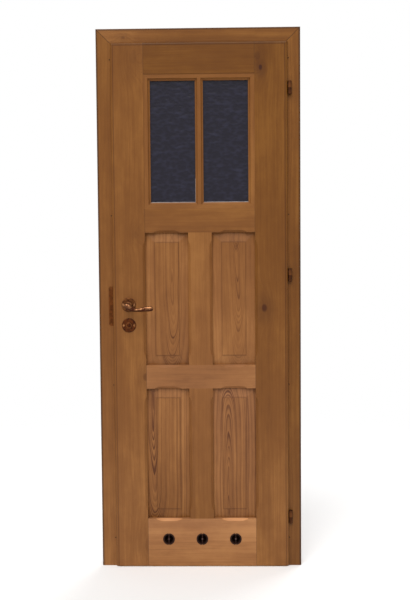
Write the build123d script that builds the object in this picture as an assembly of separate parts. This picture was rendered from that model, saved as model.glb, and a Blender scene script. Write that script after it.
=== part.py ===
from build123d import *
import math
import os

# A rebated pine door leaf in its lining frame. Millimetres, +Z up, the face that opens towards the viewer
# looks along -Y. The origin is on the floor, midway between the frame's sides, at the middle of the leaf's
# thickness. The lock side is at -X and the hinge side at +X.

# Frame
FRAME_W = 770.0  # over the outer edges of the face boards
FRAME_H = 2055.0  # floor to the top of the head face board
FACE_W = 67.0  # width of a face board
FACE_T = 12.0  # thickness of a face board
FACE_EDGE_R = 3.0  # rounding of its outer front edge
JAMB_T = 40.0  # thickness of the lining beside the leaf
JAMB_D = 75.0  # depth of the lining behind the face boards
STOP_W = 14.0  # how far the stop stands in from the rebate
MITRE_GAP = 0.1  # glue line between mitred boards, each side

# Gaps round the leaf
EDGE_GAP = 3.0  # leaf edge to rebate, at the sides
TOP_GAP = 2.0  # leaf edge to rebate, at the head
FLOOR_GAP = 3.0  # leaf to floor
LIP_GAP = 1.0  # lip to face boards

# Leaf
LEAF_T = 40.0
LIP_T = 15.0
LIP_LOCK = 15.0  # lip beyond the leaf's body, lock side
LIP_HINGE = 21.0  # hinge side
LIP_TOP = 15.0
LIP_R = 8.0  # rounding of the lip's front edge
QUIRK_W = 10.0  # width of the sunk margin that the rounding starts from
QUIRK_D = 1.0
STILE_W = 124.0
TOP_RAIL_H = 118.0
WINDOW_RAIL_H = 90.0
MIDDLE_RAIL_H = 90.0
BOTTOM_RAIL_H = 185.0
MUNTIN_W = 90.0
TENON_T = 12.0
TENON_L = 60.0
TENON_SHOULDER = 14.0  # rail edge to tenon edge
TENON_HAUNCH = 30.0  # the same at the leaf's top and bottom edges
GLUE_GAP = 0.1

# Panels
GROOVE_T = 8.2
GROOVE_D = 10.0
TONGUE_T = 7.8
TONGUE_L = 9.0
BEVEL_W = 37.0
BEVEL_T = 21.0  # thickness of the panel at the top of its bevel
FIELD_T = 24.5  # thickness of the raised field
BEVEL_INSET = 0.6  # bevel foot to the edge of the opening
CHAMFER_LEG = 9.0
CHAMFER_STOP = 30.0  # corner of the opening to the start of the chamfer
CHAMFER_R = 70.0  # radius of the run-out at each end

# Window
BEAD_W = 24.0
BEAD_FLAT = 16.0  # flat part of the bead's face
BEAD_SET = 2.0  # face of the bead below the face of the stiles
BEAD_EDGE_H = 7.0  # height of the bead where it meets the glass
BAR_W = 30.0
BAR_TONGUE = 8.0  # rib of the rear bar between the panes
GLASS_T = 4.0
GLASS_BED = 0.2
PANE_EDGE = 3.0  # pane edge to stile, rail or bar rib

# Seal
SEAL_GAP = 0.3
SEAL_H = 3.7
SEAL_W = 8.0
SEAL_ROOT_W = 2.6
SEAL_ROOT_D = 4.5
SEAL_FIT = 0.2

# Vents
VENT_Z = 108.0
VENT_PITCH = 129.0
VENT_FLANGE_R = 22.5
VENT_FLANGE_T = 1.6
VENT_TUBE_R = 19.0
VENT_WALL = 1.5
VENT_NEST = 0.2  # gap between the nested halves, and to the rail
VENT_OVERLAP = 12.0  # how far the rear tube enters the front one
VENT_RIB_W = 4.0
VENT_RIB_D = 5.0
VENT_HUB_R = 4.5
VENT_NOTCH_W = 3.6  # nicks at the top and bottom of the flange
VENT_NOTCH_D = 3.0

# Hinges
TOP_HINGE_DOWN = 173.0  # middle of the top hinge below the leaf's top
MIDDLE_HINGE_DOWN = 877.0
BOTTOM_HINGE_UP = 190.0  # middle of the bottom hinge above the leaf's foot
KNUCKLE_R = 7.5
KNUCKLE_L = 50.0  # both halves together
KNUCKLE_GAP = 0.4
KNUCKLE_CLEAR = 0.5  # knuckle to the lip's edge
KNUCKLE_ROUND = 1.2
STUD_UP = 12.5  # stud above or below the middle of its hinge
PIN_R = 3.5
PIN_FIT = 0.06
PIN_L = 18.0
STUD_R = 3.5
STUD_LEAF_L = 40.0
STUD_FRAME_L = 42.0
STUD_FIT = 0.05

# Lock
BACKSET = 45.0  # leaf body's edge to the spindle
LEVER_Z = 1015.0
SPACING = 78.0  # lever spindle to privacy spindle
LATCH_UP = 25.0  # latch above the lever spindle
BOLT_UP = 28.0  # dead bolt above the privacy spindle
CASE_D = 82.0
CASE_T = 16.0
CASE_WALL = 1.5
CASE_ABOVE = 52.0  # case above the lever spindle
CASE_BELOW = 32.0  # case below the privacy spindle
FOREND_T = 3.0
FOREND_W = 20.0
FOREND_PAST = 25.0  # forend beyond the case, each end
LOCK_FIT = 0.5  # case in its mortise
SLIDE_FIT = 0.3  # bolts in the forend
BOLT_T = 12.0
LATCH_H = 30.0
LATCH_OUT = 10.0
LATCH_NOSE = 2.0  # flat left at the latch's nose
LATCH_BODY = 25.0
LATCH_TAIL_H = 10.0
TAIL_T = 8.0
HOOK_L = 4.0
BOLT_H = 24.0
BOLT_THROW = 16.0
BOLT_FLUSH = 0.2  # dead bolt behind the forend's face when drawn in
LEG_WALL = 3.0
FOLLOWER_R = 10.0
FOLLOWER_JOURNAL_R = 8.0
ARM_R = 14.0
ARM_TIP_R = 3.0
ARM_GAP = 0.3
PRIVACY_HUB_R = 6.5
PRIVACY_JOURNAL_R = 5.5
LUG_R = 2.5
LUG_GAP = 0.45
LUG_ARM_T = 2.6
LEG_GAP = 1.1  # dead bolt's leg above the hub
LUG_ARM = BOLT_THROW / math.sqrt(2.0)  # throws the bolt over a quarter turn
JOURNAL_FIT = 0.08
SPINDLE = 8.0
PRIVACY_SPINDLE = 6.0
SQUARE_FIT = 0.05

# Roses, levers and turns
ROSE_R = 27.0
ROSE_T = 3.5
ROSE_ROUND = 2.8
COLLAR_R = 13.5
LEVER_COLLAR_H = 10.0
PRIVACY_COLLAR_H = 6.0
COLLAR_ROUND = 2.5
NECK_R = 9.0
NECK_FIT = 0.1
NECK_START = 1.5  # neck's inner end, out from the leaf's face
SPINDLE_HOLE_R = 11.5
SCREW_SPREAD = 19.5  # rose screws to the spindle
SCREW_R = 2.0
SCREW_HEAD_R = 3.2
SCREW_HEAD_H = 1.2
SCREW_HEAD_ROUND = 0.85
SCREW_FIT = 0.2
SCREW_BITE = 2.2  # rose screws in the rear roses
LEVER_REACH = 63.0  # leaf face to the outside of the grip
# Stations of the grip: along from the spindle, down from it, half height, half depth
GRIP = [
    (-11.0, 1.0, 5.0, 4.5),
    (-6.0, 1.5, 10.0, 7.5),
    (3.0, 4.0, 12.5, 9.0),
    (16.0, 11.0, 10.5, 8.5),
    (33.0, 16.5, 6.5, 7.0),
    (50.0, 15.5, 7.5, 6.8),
    (68.0, 12.8, 9.2, 6.8),
    (86.0, 12.0, 9.3, 6.8),
    (94.0, 12.0, 6.8, 5.2),
    (96.5, 12.0, 3.5, 2.8),
]
DISC_OUT = 8.5
COIN_SLOT_W = 1.8
COIN_SLOT_L = 13.0
COIN_SLOT_D = 2.0
TURN_NECK_OUT = 16.0
TURN_KNOB = (8.0, 13.0, 28.0)
TURN_ROUND = 3.6

# Strike plate
STRIKE_Z0 = 933.0
STRIKE_Z1 = 1085.0
STRIKE_T = 1.5
STRIKE_FACE = 30.0  # width of the leg on the face board
STRIKE_EDGE = 26.0  # depth of the leg in the rebate
STRIKE_ROUND = 8.0
STRIKE_HOLE_CLEAR = 1.5  # round the latch and bolt
STRIKE_POCKET = 16.0
STRIKE_SCREW_IN = 10.0  # screw to the plate's end
STRIKE_SCREW_X = 8.5  # screw to the plate's outer edge

# Screws and nails
WOOD_SCREW_R = 1.8
WOOD_SCREW_HEAD_R = 3.6
WOOD_SCREW_L = 22.0
FOREND_SCREW_IN = 10.0
NAIL_UPS = [110.0, 706.0, 1354.0]
TOP_NAIL_DOWN = 115.0  # top nail below the top of the frame
NAIL_R = 1.2
NAIL_HEAD_R = 2.5
NAIL_HEAD_H = 0.5
NAIL_L = 38.0
NAIL_IN = 3.6  # nail to the lip's edge
CORNER_SCREW_R = 2.5
CORNER_SCREW_L = 90.0
CORNER_SCREW_HEAD_R = 4.5
CORNER_SCREW_HEAD_H = 3.0
CORNER_SCREW_YS = [16.0, 42.0, 68.0]
PILOT_FIT = 0.05
FIXING_R = 4.0
FIXING_UPS = [250.0, 1000.0]
TOP_FIXING_DOWN = 305.0  # top fixing below the top of the frame
FIXING_Y = 60.0
FIXING_SINK_R = 8.0

# Places worked out from the sizes
LEAF_FRONT = -LEAF_T / 2
LEAF_BACK = LEAF_T / 2
LIP_BACK = LEAF_FRONT + LIP_T
FACE_FRONT = LIP_BACK + LIP_GAP
FACE_BACK = FACE_FRONT + FACE_T
JAMB_BACK = FACE_BACK + JAMB_D
STOP_Y = LEAF_BACK + SEAL_GAP + SEAL_H
REBATE_X = FRAME_W / 2 - FACE_W
REBATE_Z = FRAME_H - FACE_W
JAMB_X = REBATE_X + JAMB_T
JAMB_Z = REBATE_Z + JAMB_T
BODY_X = REBATE_X - EDGE_GAP
BODY_TOP = REBATE_Z - TOP_GAP
LEAF_X0 = -BODY_X - LIP_LOCK
LEAF_X1 = BODY_X + LIP_HINGE
LEAF_TOP = BODY_TOP + LIP_TOP
HINGE_ZS = {
    "top": LEAF_TOP - TOP_HINGE_DOWN,
    "middle": LEAF_TOP - MIDDLE_HINGE_DOWN,
    "bottom": FLOOR_GAP + BOTTOM_HINGE_UP,
}
NAIL_ZS = [*NAIL_UPS, FRAME_H - TOP_NAIL_DOWN]
FIXING_ZS = [*FIXING_UPS, FRAME_H - TOP_FIXING_DOWN]
IN_X0 = LEAF_X0 + STILE_W
IN_X1 = LEAF_X1 - STILE_W
MID_X = (IN_X0 + IN_X1) / 2
MUNTIN_X0 = MID_X - MUNTIN_W / 2
MUNTIN_X1 = MID_X + MUNTIN_W / 2
OPENING_H = (LEAF_TOP - FLOOR_GAP - BOTTOM_RAIL_H - MIDDLE_RAIL_H - WINDOW_RAIL_H - TOP_RAIL_H) / 3
LOWER_Z0 = FLOOR_GAP + BOTTOM_RAIL_H
LOWER_Z1 = LOWER_Z0 + OPENING_H
UPPER_Z0 = LOWER_Z1 + MIDDLE_RAIL_H
UPPER_Z1 = UPPER_Z0 + OPENING_H
WINDOW_Z0 = UPPER_Z1 + WINDOW_RAIL_H
WINDOW_Z1 = WINDOW_Z0 + OPENING_H
ROWS = [(LOWER_Z0, LOWER_Z1), (UPPER_Z0, UPPER_Z1)]
HINGE_X = LEAF_X1 + KNUCKLE_CLEAR + KNUCKLE_R
HINGE_Y = (LEAF_FRONT + LIP_BACK) / 2
SPINDLE_X = -BODY_X + BACKSET
PRIVACY_Z = LEVER_Z - SPACING
LATCH_Z = LEVER_Z + LATCH_UP
BOLT_Z = PRIVACY_Z + BOLT_UP
LOCK_Y = (LIP_BACK + LEAF_BACK) / 2
CASE_X0 = -BODY_X + FOREND_T
CASE_X1 = CASE_X0 + CASE_D
CASE_Z0 = PRIVACY_Z - CASE_BELOW
CASE_Z1 = LEVER_Z + CASE_ABOVE
FOREND_Z0 = CASE_Z0 - FOREND_PAST
FOREND_Z1 = CASE_Z1 + FOREND_PAST
RAILS = {
    "bottom_rail": (FLOOR_GAP, LOWER_Z0, TENON_HAUNCH, TENON_SHOULDER),
    "middle_rail": (LOWER_Z1, UPPER_Z0, TENON_SHOULDER, TENON_SHOULDER),
    "window_rail": (UPPER_Z1, WINDOW_Z0, TENON_SHOULDER, TENON_SHOULDER),
    "top_rail": (WINDOW_Z1, LEAF_TOP, TENON_SHOULDER, TENON_HAUNCH),
}
OPENINGS = {
    "lower_left": (IN_X0, MUNTIN_X0, LOWER_Z0, LOWER_Z1),
    "lower_right": (MUNTIN_X1, IN_X1, LOWER_Z0, LOWER_Z1),
    "upper_left": (IN_X0, MUNTIN_X0, UPPER_Z0, UPPER_Z1),
    "upper_right": (MUNTIN_X1, IN_X1, UPPER_Z0, UPPER_Z1),
}
FRONT = -1
REAR = 1


def block(x0, x1, y0, y1, z0, z1):
    """Box between two corners."""
    return Pos((x0 + x1) / 2, (y0 + y1) / 2, (z0 + z1) / 2) * Box(x1 - x0, y1 - y0, z1 - z0)


def rod(radius, start, end):
    """Round bar between two points."""
    axis = Vector(*end) - Vector(*start)
    place = Plane(origin=start, z_dir=axis).location
    return place * Cylinder(radius, axis.length, align=(Align.CENTER, Align.CENTER, Align.MIN))


def cone(radius0, radius1, start, end):
    """Tapered bar between two points."""
    axis = Vector(*end) - Vector(*start)
    place = Plane(origin=start, z_dir=axis).location
    return place * Cone(radius0, radius1, axis.length, align=(Align.CENTER, Align.CENTER, Align.MIN))


def slab(points, y0, y1):
    """Plate of the given outline in X and Z, between two depths."""
    outline = Plane.XZ * make_face(Polyline(*points, close=True))
    return Pos(0, y1, 0) * extrude(outline, amount=y1 - y0)


def write(name, *shapes):
    """One STEP file for a node, with each of its solids apart."""
    solids = [solid for shape in shapes for solid in shape.solids()]
    node = Compound(children=solids) if len(solids) > 1 else solids[0]
    node.label = name
    export_step(node, f"parts/{name}.step")


# Frame: lining


def jamb(side):
    """Upright lining board of one side: rebate part, stop, seal groove and fixing holes."""
    rebate, outer, inner = (side * x for x in (REBATE_X, JAMB_X, REBATE_X - STOP_W))
    board = block(min(rebate, outer), max(rebate, outer), FACE_BACK, JAMB_BACK, 0, JAMB_Z)
    stop = block(min(inner, outer), max(inner, outer), STOP_Y, JAMB_BACK, 0, JAMB_Z)
    board = board + stop - seal_groove()
    for z in FIXING_ZS:
        board -= rod(FIXING_R, (inner, FIXING_Y, z), (outer, FIXING_Y, z))
        sink_end = inner + side * (FIXING_SINK_R - FIXING_R)
        board -= cone(FIXING_SINK_R, FIXING_R, (inner, FIXING_Y, z), (sink_end, FIXING_Y, z))
    return board


def head():
    """Lining board between the uprights."""
    top = block(-REBATE_X, REBATE_X, FACE_BACK, STOP_Y, REBATE_Z, JAMB_Z)
    inner = REBATE_X - STOP_W
    stop = block(-inner, inner, STOP_Y, JAMB_BACK, REBATE_Z - STOP_W, JAMB_Z)
    return top + stop - seal_groove()


def arch(half_width, top, line_w):
    """Outline of a strip that runs up one side, along the head and down the other."""
    inner, low = half_width - line_w, top - line_w
    return [
        (-half_width, 0),
        (-half_width, top),
        (half_width, top),
        (half_width, 0),
        (inner, 0),
        (inner, low),
        (-inner, low),
        (-inner, 0),
    ]


def seal_middle():
    """Middle line of the seal on the stop: half width and height."""
    return REBATE_X - STOP_W / 2, REBATE_Z - STOP_W / 2


def seal_groove():
    half_width, top = seal_middle()
    width = SEAL_ROOT_W + 2 * SEAL_FIT
    outline = arch(half_width + width / 2, top + width / 2, width)
    return slab(outline, STOP_Y, STOP_Y + SEAL_ROOT_D + SEAL_FIT)


def seal():
    """Strip with its root in the groove."""
    half_width, top = seal_middle()
    bulb = slab(arch(half_width + SEAL_W / 2, top + SEAL_W / 2, SEAL_W), STOP_Y - SEAL_H, STOP_Y)
    root = arch(half_width + SEAL_ROOT_W / 2, top + SEAL_ROOT_W / 2, SEAL_ROOT_W)
    return bulb + slab(root, STOP_Y, STOP_Y + SEAL_ROOT_D)


def corner_screw(side, y, radius, head_radius, head_h):
    """Screw through an upright into the end of the head, with its head let in."""
    z = REBATE_Z + JAMB_T / 2
    outer = side * JAMB_X
    tip = outer - side * CORNER_SCREW_L
    neck = outer - side * head_h
    return rod(radius, (outer, y, z), (tip, y, z)) + rod(head_radius, (outer, y, z), (neck, y, z))


# Frame: face boards


def mitre_cut(side, keep_head):
    """Half space beyond the mitre line of one top corner, as a large block."""
    reach = FRAME_W
    shift = MITRE_GAP if keep_head else -MITRE_GAP
    inner, outer = REBATE_X - reach, FRAME_W / 2 + reach
    low, high = REBATE_Z - reach + shift, FRAME_H + reach + shift
    corner = (outer, low) if keep_head else (inner, high)
    points = [(side * x, z) for x, z in ((inner, low), corner, (outer, high))]
    return slab(points, FACE_FRONT - FACE_T, FACE_BACK + FACE_T)


def side_face_board(side):
    """Upright face board, square at the floor and mitred at the top."""
    inner, outer = side * REBATE_X, side * FRAME_W / 2
    board = block(min(inner, outer), max(inner, outer), FACE_FRONT, FACE_BACK, 0, FRAME_H)
    edge = board.edges().filter_by(Axis.Z).group_by(Axis.Y)[0].sort_by(Axis.X)[-1 if side > 0 else 0]
    return fillet(edge, FACE_EDGE_R) - mitre_cut(side, False)


def head_face_board():
    """Face board over the leaf, mitred at both ends."""
    board = block(-FRAME_W / 2, FRAME_W / 2, FACE_FRONT, FACE_BACK, REBATE_Z, FRAME_H)
    edge = board.edges().filter_by(Axis.X).group_by(Axis.Y)[0].sort_by(Axis.Z)[-1]
    board = fillet(edge, FACE_EDGE_R)
    return board - mitre_cut(-1, True) - mitre_cut(1, True)


def nail(side, z, radius, head_radius):
    """Nail through a face board, just outside the leaf's lip."""
    x = LEAF_X0 - NAIL_IN if side < 0 else LEAF_X1 + NAIL_IN
    shank = rod(radius, (x, FACE_FRONT, z), (x, FACE_FRONT + NAIL_L, z))
    return shank + rod(head_radius, (x, FACE_FRONT - NAIL_HEAD_H, z), (x, FACE_FRONT, z))


# Leaf: joinery


def leaf_blank():
    """Outer shape of the leaf: body, lip, and the rounded and quirked front edge."""
    lip = block(LEAF_X0, LEAF_X1, LEAF_FRONT, LIP_BACK, FLOOR_GAP, LEAF_TOP)
    inner = block(
        LEAF_X0 + QUIRK_W,
        LEAF_X1 - QUIRK_W,
        LEAF_FRONT,
        LIP_BACK,
        FLOOR_GAP,
        LEAF_TOP - QUIRK_W,
    )
    margin = block(LEAF_X0, LEAF_X1, LEAF_FRONT + QUIRK_D, LIP_BACK, FLOOR_GAP, LEAF_TOP)
    front = margin.edges().group_by(Axis.Y)[0]
    sides = front.filter_by(Axis.Z)
    top = front.filter_by(Axis.X).sort_by(Axis.Z)[-1]
    margin = fillet([*sides, top], LIP_R)
    body = block(-BODY_X, BODY_X, LIP_BACK, LEAF_BACK, FLOOR_GAP, BODY_TOP)
    return (lip & (margin + inner)) + body


def tenon(name, side, grow):
    """Tenon of a rail at one side, or its mortise when grown."""
    z0, z1, below, above = RAILS[name]
    z1 = min(z1, BODY_TOP)
    shoulder = IN_X1 if side > 0 else IN_X0
    end = shoulder + side * (TENON_L + 2 * grow)
    half = TENON_T / 2 + grow
    return block(
        min(shoulder, end),
        max(shoulder, end),
        -half,
        half,
        z0 + below - grow,
        z1 - above + grow,
    )


def row_groove(z0, z1):
    """Panel groove round one row of openings."""
    half = GROOVE_T / 2
    return block(IN_X0 - GROOVE_D, IN_X1 + GROOVE_D, -half, half, z0 - GROOVE_D, z1 + GROOVE_D)


def stopped_chamfer(start, along, outward, length):
    """Cutter for a chamfer on one edge, which rises out of the wood in an arc at each end."""
    depth = CHAMFER_LEG / math.sqrt(2.0)
    run = math.sqrt(2 * CHAMFER_R * depth - depth**2)
    rise = CHAMFER_R - depth
    angle = math.degrees(math.acos(rise / CHAMFER_R)) / 2
    bow = (CHAMFER_R * math.sin(math.radians(angle)), CHAMFER_R * (1 - math.cos(math.radians(angle))))
    a, b = CHAMFER_STOP, length - CHAMFER_STOP
    floor_a, floor_b = a + run, b - run
    outline = [
        ThreePointArc((a, 0), (floor_a - bow[0], bow[1] - depth), (floor_a, -depth)),
        Line((floor_a, -depth), (floor_b, -depth)),
        ThreePointArc((floor_b, -depth), (floor_b + bow[0], bow[1] - depth), (b, 0)),
        Polyline((b, 0), (b, depth), (a, depth), (a, 0)),
    ]
    across = Vector(*along).cross(Vector(*outward))
    place = Plane(origin=start, x_dir=along, z_dir=across)
    return extrude(place * make_face(outline), amount=CHAMFER_LEG, both=True)


def opening_chamfers(name):
    """Cutters for the eight edges of one opening, four on each face of the leaf."""
    x0, x1, z0, z1 = OPENINGS[name]
    cutters = []
    for face in (FRONT, REAR):
        y = face * LEAF_T / 2
        cutters += [
            stopped_chamfer((x0, y, z0), (0, 0, 1), (1, face, 0), z1 - z0),
            stopped_chamfer((x1, y, z0), (0, 0, 1), (-1, face, 0), z1 - z0),
            stopped_chamfer((x0, y, z0), (1, 0, 0), (0, face, 1), x1 - x0),
            stopped_chamfer((x0, y, z1), (1, 0, 0), (0, face, -1), x1 - x0),
        ]
    return cutters


def cut_all(shape, cutters):
    for cutter in cutters:
        shape -= cutter
    return shape


def stile(side, blank):
    """Upright of the leaf, with the mortises and panel grooves of its inner edge."""
    x0, x1 = (LEAF_X0, IN_X0) if side < 0 else (IN_X1, LEAF_X1)
    post = blank & block(x0, x1, LEAF_FRONT, LEAF_BACK, FLOOR_GAP, LEAF_TOP)
    post = cut_all(post, [tenon(name, side, GLUE_GAP) for name in RAILS])
    post = cut_all(post, [row_groove(*row) for row in ROWS])
    names = ("lower_left", "upper_left") if side < 0 else ("lower_right", "upper_right")
    return cut_all(post, [cutter for name in names for cutter in opening_chamfers(name)])


def rail(name, blank):
    """Cross piece between the stiles, with a tenon at each end."""
    z0, z1 = RAILS[name][:2]
    board = blank & block(IN_X0, IN_X1, LEAF_FRONT, LEAF_BACK, z0, z1)
    board = board + tenon(name, -1, 0) + tenon(name, 1, 0)
    for row in ROWS:
        if z0 - GROOVE_D < row[1] and z1 + GROOVE_D > row[0]:
            board -= row_groove(*row)
    for opening, box in OPENINGS.items():
        if z1 == box[2] or z0 == box[3]:
            board = cut_all(board, opening_chamfers(opening))
    return board


def muntin(row):
    """Upright between two panels, with a tongue at each end in the rails' grooves."""
    z0, z1 = row
    half = TONGUE_T / 2
    post = block(MUNTIN_X0, MUNTIN_X1, LEAF_FRONT, LEAF_BACK, z0, z1)
    post += block(MUNTIN_X0, MUNTIN_X1, -half, half, z0 - TONGUE_L, z1 + TONGUE_L)
    for x0, x1 in ((MUNTIN_X0, MUNTIN_X0 + GROOVE_D), (MUNTIN_X1 - GROOVE_D, MUNTIN_X1)):
        post -= block(x0, x1, -GROOVE_T / 2, GROOVE_T / 2, z0 - GROOVE_D, z1 + GROOVE_D)
    for opening, box in OPENINGS.items():
        if box[2] == z0:
            post = cut_all(post, opening_chamfers(opening))
    return post


def raised_panel(opening):
    """Panel with a tongue all round, and a bevel that rises to a field on each face."""
    x0, x1, z0, z1 = OPENINGS[opening]
    half = TONGUE_T / 2
    panel = block(x0 - TONGUE_L, x1 + TONGUE_L, -half, half, z0 - TONGUE_L, z1 + TONGUE_L)
    width, height = x1 - x0, z1 - z0
    middle = ((x0 + x1) / 2, (z0 + z1) / 2)
    for face in (FRONT, REAR):
        levels = [(half, BEVEL_INSET), (BEVEL_T / 2, BEVEL_W)]
        outlines = []
        for level, inset in levels:
            place = Plane(origin=(middle[0], face * level, middle[1]), x_dir=(1, 0, 0), z_dir=(0, face, 0))
            outlines.append(place * Rectangle(width - 2 * inset, height - 2 * inset))
        panel += loft(outlines, ruled=True)
        y0, y1 = sorted((face * half, face * FIELD_T / 2))
        panel += block(x0 + BEVEL_W, x1 - BEVEL_W, y0, y1, z0 + BEVEL_W, z1 - BEVEL_W)
    return panel


# Leaf: window


def bead_section(face, flat):
    """Height of a moulding over the glass: flat top, then a hollow down to the sight edge."""
    glass = face * (GLASS_T / 2 + GLASS_BED)
    top = face * (LEAF_T / 2 - BEAD_SET)
    edge = glass + face * BEAD_EDGE_H
    width = BEAD_W - BEAD_FLAT
    middle = (flat + width * (1 - math.cos(math.pi / 4)), edge + (top - edge) * (1 - math.sin(math.pi / 4)))
    return glass, top, edge, flat + width, middle


def bead(name, face):
    """Mitred moulding along one edge of the window."""
    glass, top, edge, width, middle = bead_section(face, BEAD_FLAT)
    outline = [
        Polyline((width, edge), (width, glass), (0, glass), (0, top), (BEAD_FLAT, top)),
        ThreePointArc((BEAD_FLAT, top), middle, (width, edge)),
    ]
    sides = {
        "bottom": ((IN_X0, WINDOW_Z0), (1, 0), (0, 1), IN_X1 - IN_X0),
        "top": ((IN_X0, WINDOW_Z1), (1, 0), (0, -1), IN_X1 - IN_X0),
        "left": ((IN_X0, WINDOW_Z0), (0, 1), (1, 0), OPENING_H),
        "right": ((IN_X1, WINDOW_Z0), (0, 1), (-1, 0), OPENING_H),
    }
    (x, z), along, inward, length = sides[name]
    place = Plane(
        origin=(x, 0, z),
        x_dir=(inward[0], 0, inward[1]),
        z_dir=Vector(inward[0], 0, inward[1]).cross(Vector(0, 1, 0)),
    )
    raw = extrude(place * make_face(outline), amount=length, both=True)
    cut = MITRE_GAP
    plan = [
        (x + along[0] * run + inward[0] * rise, z + along[1] * run + inward[1] * rise)
        for run, rise in ((cut, 0), (length - cut, 0), (length - BEAD_W - cut, BEAD_W), (BEAD_W + cut, BEAD_W))
    ]
    y0, y1 = sorted((glass, top))
    return raw & slab(plan, y0, y1)


def glazing_bar(face, beads):
    """Upright bar between the panes, coped over the top and bottom beads."""
    flat = BAR_W / 2 - (BEAD_W - BEAD_FLAT)
    glass, top, edge, width, middle = bead_section(face, flat)
    mirrored = (-middle[0], middle[1])
    outline = [
        Polyline((width, edge), (width, glass), (-width, glass), (-width, edge)),
        ThreePointArc((-width, edge), mirrored, (-flat, top)),
        Line((-flat, top), (flat, top)),
        ThreePointArc((flat, top), middle, (width, edge)),
    ]
    place = Plane(origin=(MID_X, 0, WINDOW_Z0 + BEAD_FLAT), x_dir=(1, 0, 0), z_dir=(0, 0, 1))
    bar = extrude(place * make_face(outline), amount=OPENING_H - 2 * BEAD_FLAT)
    bar = cut_all(bar, beads)
    if face == REAR:
        half = BAR_TONGUE / 2
        depth = GLASS_T / 2 + GLASS_BED
        bar += block(MID_X - half, MID_X + half, -depth, depth, WINDOW_Z0 + BEAD_W, WINDOW_Z1 - BEAD_W)
    return bar


def pane(side):
    """One of the two panes."""
    near = MID_X + side * (BAR_TONGUE / 2 + GLASS_BED)
    far = IN_X1 - PANE_EDGE if side > 0 else IN_X0 + PANE_EDGE
    half = GLASS_T / 2
    return block(min(near, far), max(near, far), -half, half, WINDOW_Z0 + PANE_EDGE, WINDOW_Z1 - PANE_EDGE)


# Leaf: vents


def vent_x(place):
    """Middle of a vent, counted from the middle one."""
    return MID_X + place * VENT_PITCH


def vent_hole(place):
    radius = VENT_TUBE_R + VENT_NEST
    x = vent_x(place)
    return rod(radius, (x, LEAF_FRONT, VENT_Z), (x, LEAF_BACK, VENT_Z))


def vent_split():
    """Depth at which the front tube ends."""
    return LEAF_BACK - VENT_OVERLAP


def vent_notches(x, y0, y1):
    """The nicks in a flange between two depths."""
    half = VENT_NOTCH_W / 2
    low, high = VENT_FLANGE_R - VENT_NOTCH_D, VENT_FLANGE_R
    return [
        block(x - half, x + half, y0, y1, VENT_Z + low, VENT_Z + high),
        block(x - half, x + half, y0, y1, VENT_Z - high, VENT_Z - low),
    ]


def front_vent(place):
    """Front half of a vent sleeve: flange, tube, and a rib with a hub across the mouth."""
    x = vent_x(place)
    face = LEAF_FRONT - VENT_FLANGE_T
    sleeve = rod(VENT_FLANGE_R, (x, face, VENT_Z), (x, LEAF_FRONT, VENT_Z))
    rim = sleeve.edges().filter_by(GeomType.CIRCLE).sort_by(Axis.Y)[0]
    sleeve = cut_all(fillet(rim, VENT_FLANGE_T / 2), vent_notches(x, face, LEAF_FRONT))
    sleeve += rod(VENT_TUBE_R, (x, LEAF_FRONT, VENT_Z), (x, vent_split(), VENT_Z))
    bore = VENT_TUBE_R - VENT_WALL
    sleeve -= rod(bore, (x, face, VENT_Z), (x, vent_split(), VENT_Z))
    rib = block(
        x - VENT_RIB_W / 2,
        x + VENT_RIB_W / 2,
        LEAF_FRONT,
        LEAF_FRONT + VENT_RIB_D,
        VENT_Z - bore - VENT_WALL / 2,
        VENT_Z + bore + VENT_WALL / 2,
    )
    return sleeve + rib + rod(VENT_HUB_R, (x, LEAF_FRONT, VENT_Z), (x, LEAF_FRONT + VENT_RIB_D, VENT_Z))


def rear_vent(place):
    """Rear half, whose tube slides into the front one."""
    x = vent_x(place)
    outer = VENT_TUBE_R - VENT_WALL - VENT_NEST
    face = LEAF_BACK + VENT_FLANGE_T
    start = vent_split() - VENT_OVERLAP
    sleeve = rod(VENT_FLANGE_R, (x, LEAF_BACK, VENT_Z), (x, face, VENT_Z))
    rim = sleeve.edges().filter_by(GeomType.CIRCLE).sort_by(Axis.Y)[-1]
    sleeve = cut_all(fillet(rim, VENT_FLANGE_T / 2), vent_notches(x, LEAF_BACK, face))
    sleeve += rod(outer, (x, start, VENT_Z), (x, LEAF_BACK, VENT_Z))
    return sleeve - rod(outer - VENT_WALL, (x, start, VENT_Z), (x, face, VENT_Z))


# Hinges


def knuckle(z0, z1, rounded_top):
    """One half of a hinge's barrel, with its outer end rounded."""
    barrel = rod(KNUCKLE_R, (HINGE_X, HINGE_Y, z0), (HINGE_X, HINGE_Y, z1))
    rim = barrel.edges().filter_by(GeomType.CIRCLE).sort_by(Axis.Z)[-1 if rounded_top else 0]
    return fillet(rim, KNUCKLE_ROUND)


def hinge_stud(z, part, radius):
    """Stud of a hinge half: into the lip's edge, or back through the face board into the jamb."""
    start = (HINGE_X, HINGE_Y, z)
    if part == "leaf":
        return rod(radius, start, (LEAF_X1 - STUD_LEAF_L, HINGE_Y, z))
    return rod(radius, start, (HINGE_X, FACE_FRONT + STUD_FRAME_L, z))


def frame_half(z):
    """Lower half of a hinge, with the pin."""
    body = knuckle(z - KNUCKLE_L / 2, z - KNUCKLE_GAP / 2, False)
    body += rod(PIN_R, (HINGE_X, HINGE_Y, z - KNUCKLE_GAP / 2), (HINGE_X, HINGE_Y, z + PIN_L))
    return body + hinge_stud(z - STUD_UP, "frame", STUD_R)


def leaf_half(z):
    """Upper half, which turns on the pin."""
    body = knuckle(z + KNUCKLE_GAP / 2, z + KNUCKLE_L / 2, True)
    body += hinge_stud(z + STUD_UP, "leaf", STUD_R)
    bore_top = z + PIN_L + KNUCKLE_GAP
    return body - rod(PIN_R + PIN_FIT, (HINGE_X, HINGE_Y, z), (HINGE_X, HINGE_Y, bore_top))


# Lock


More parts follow.
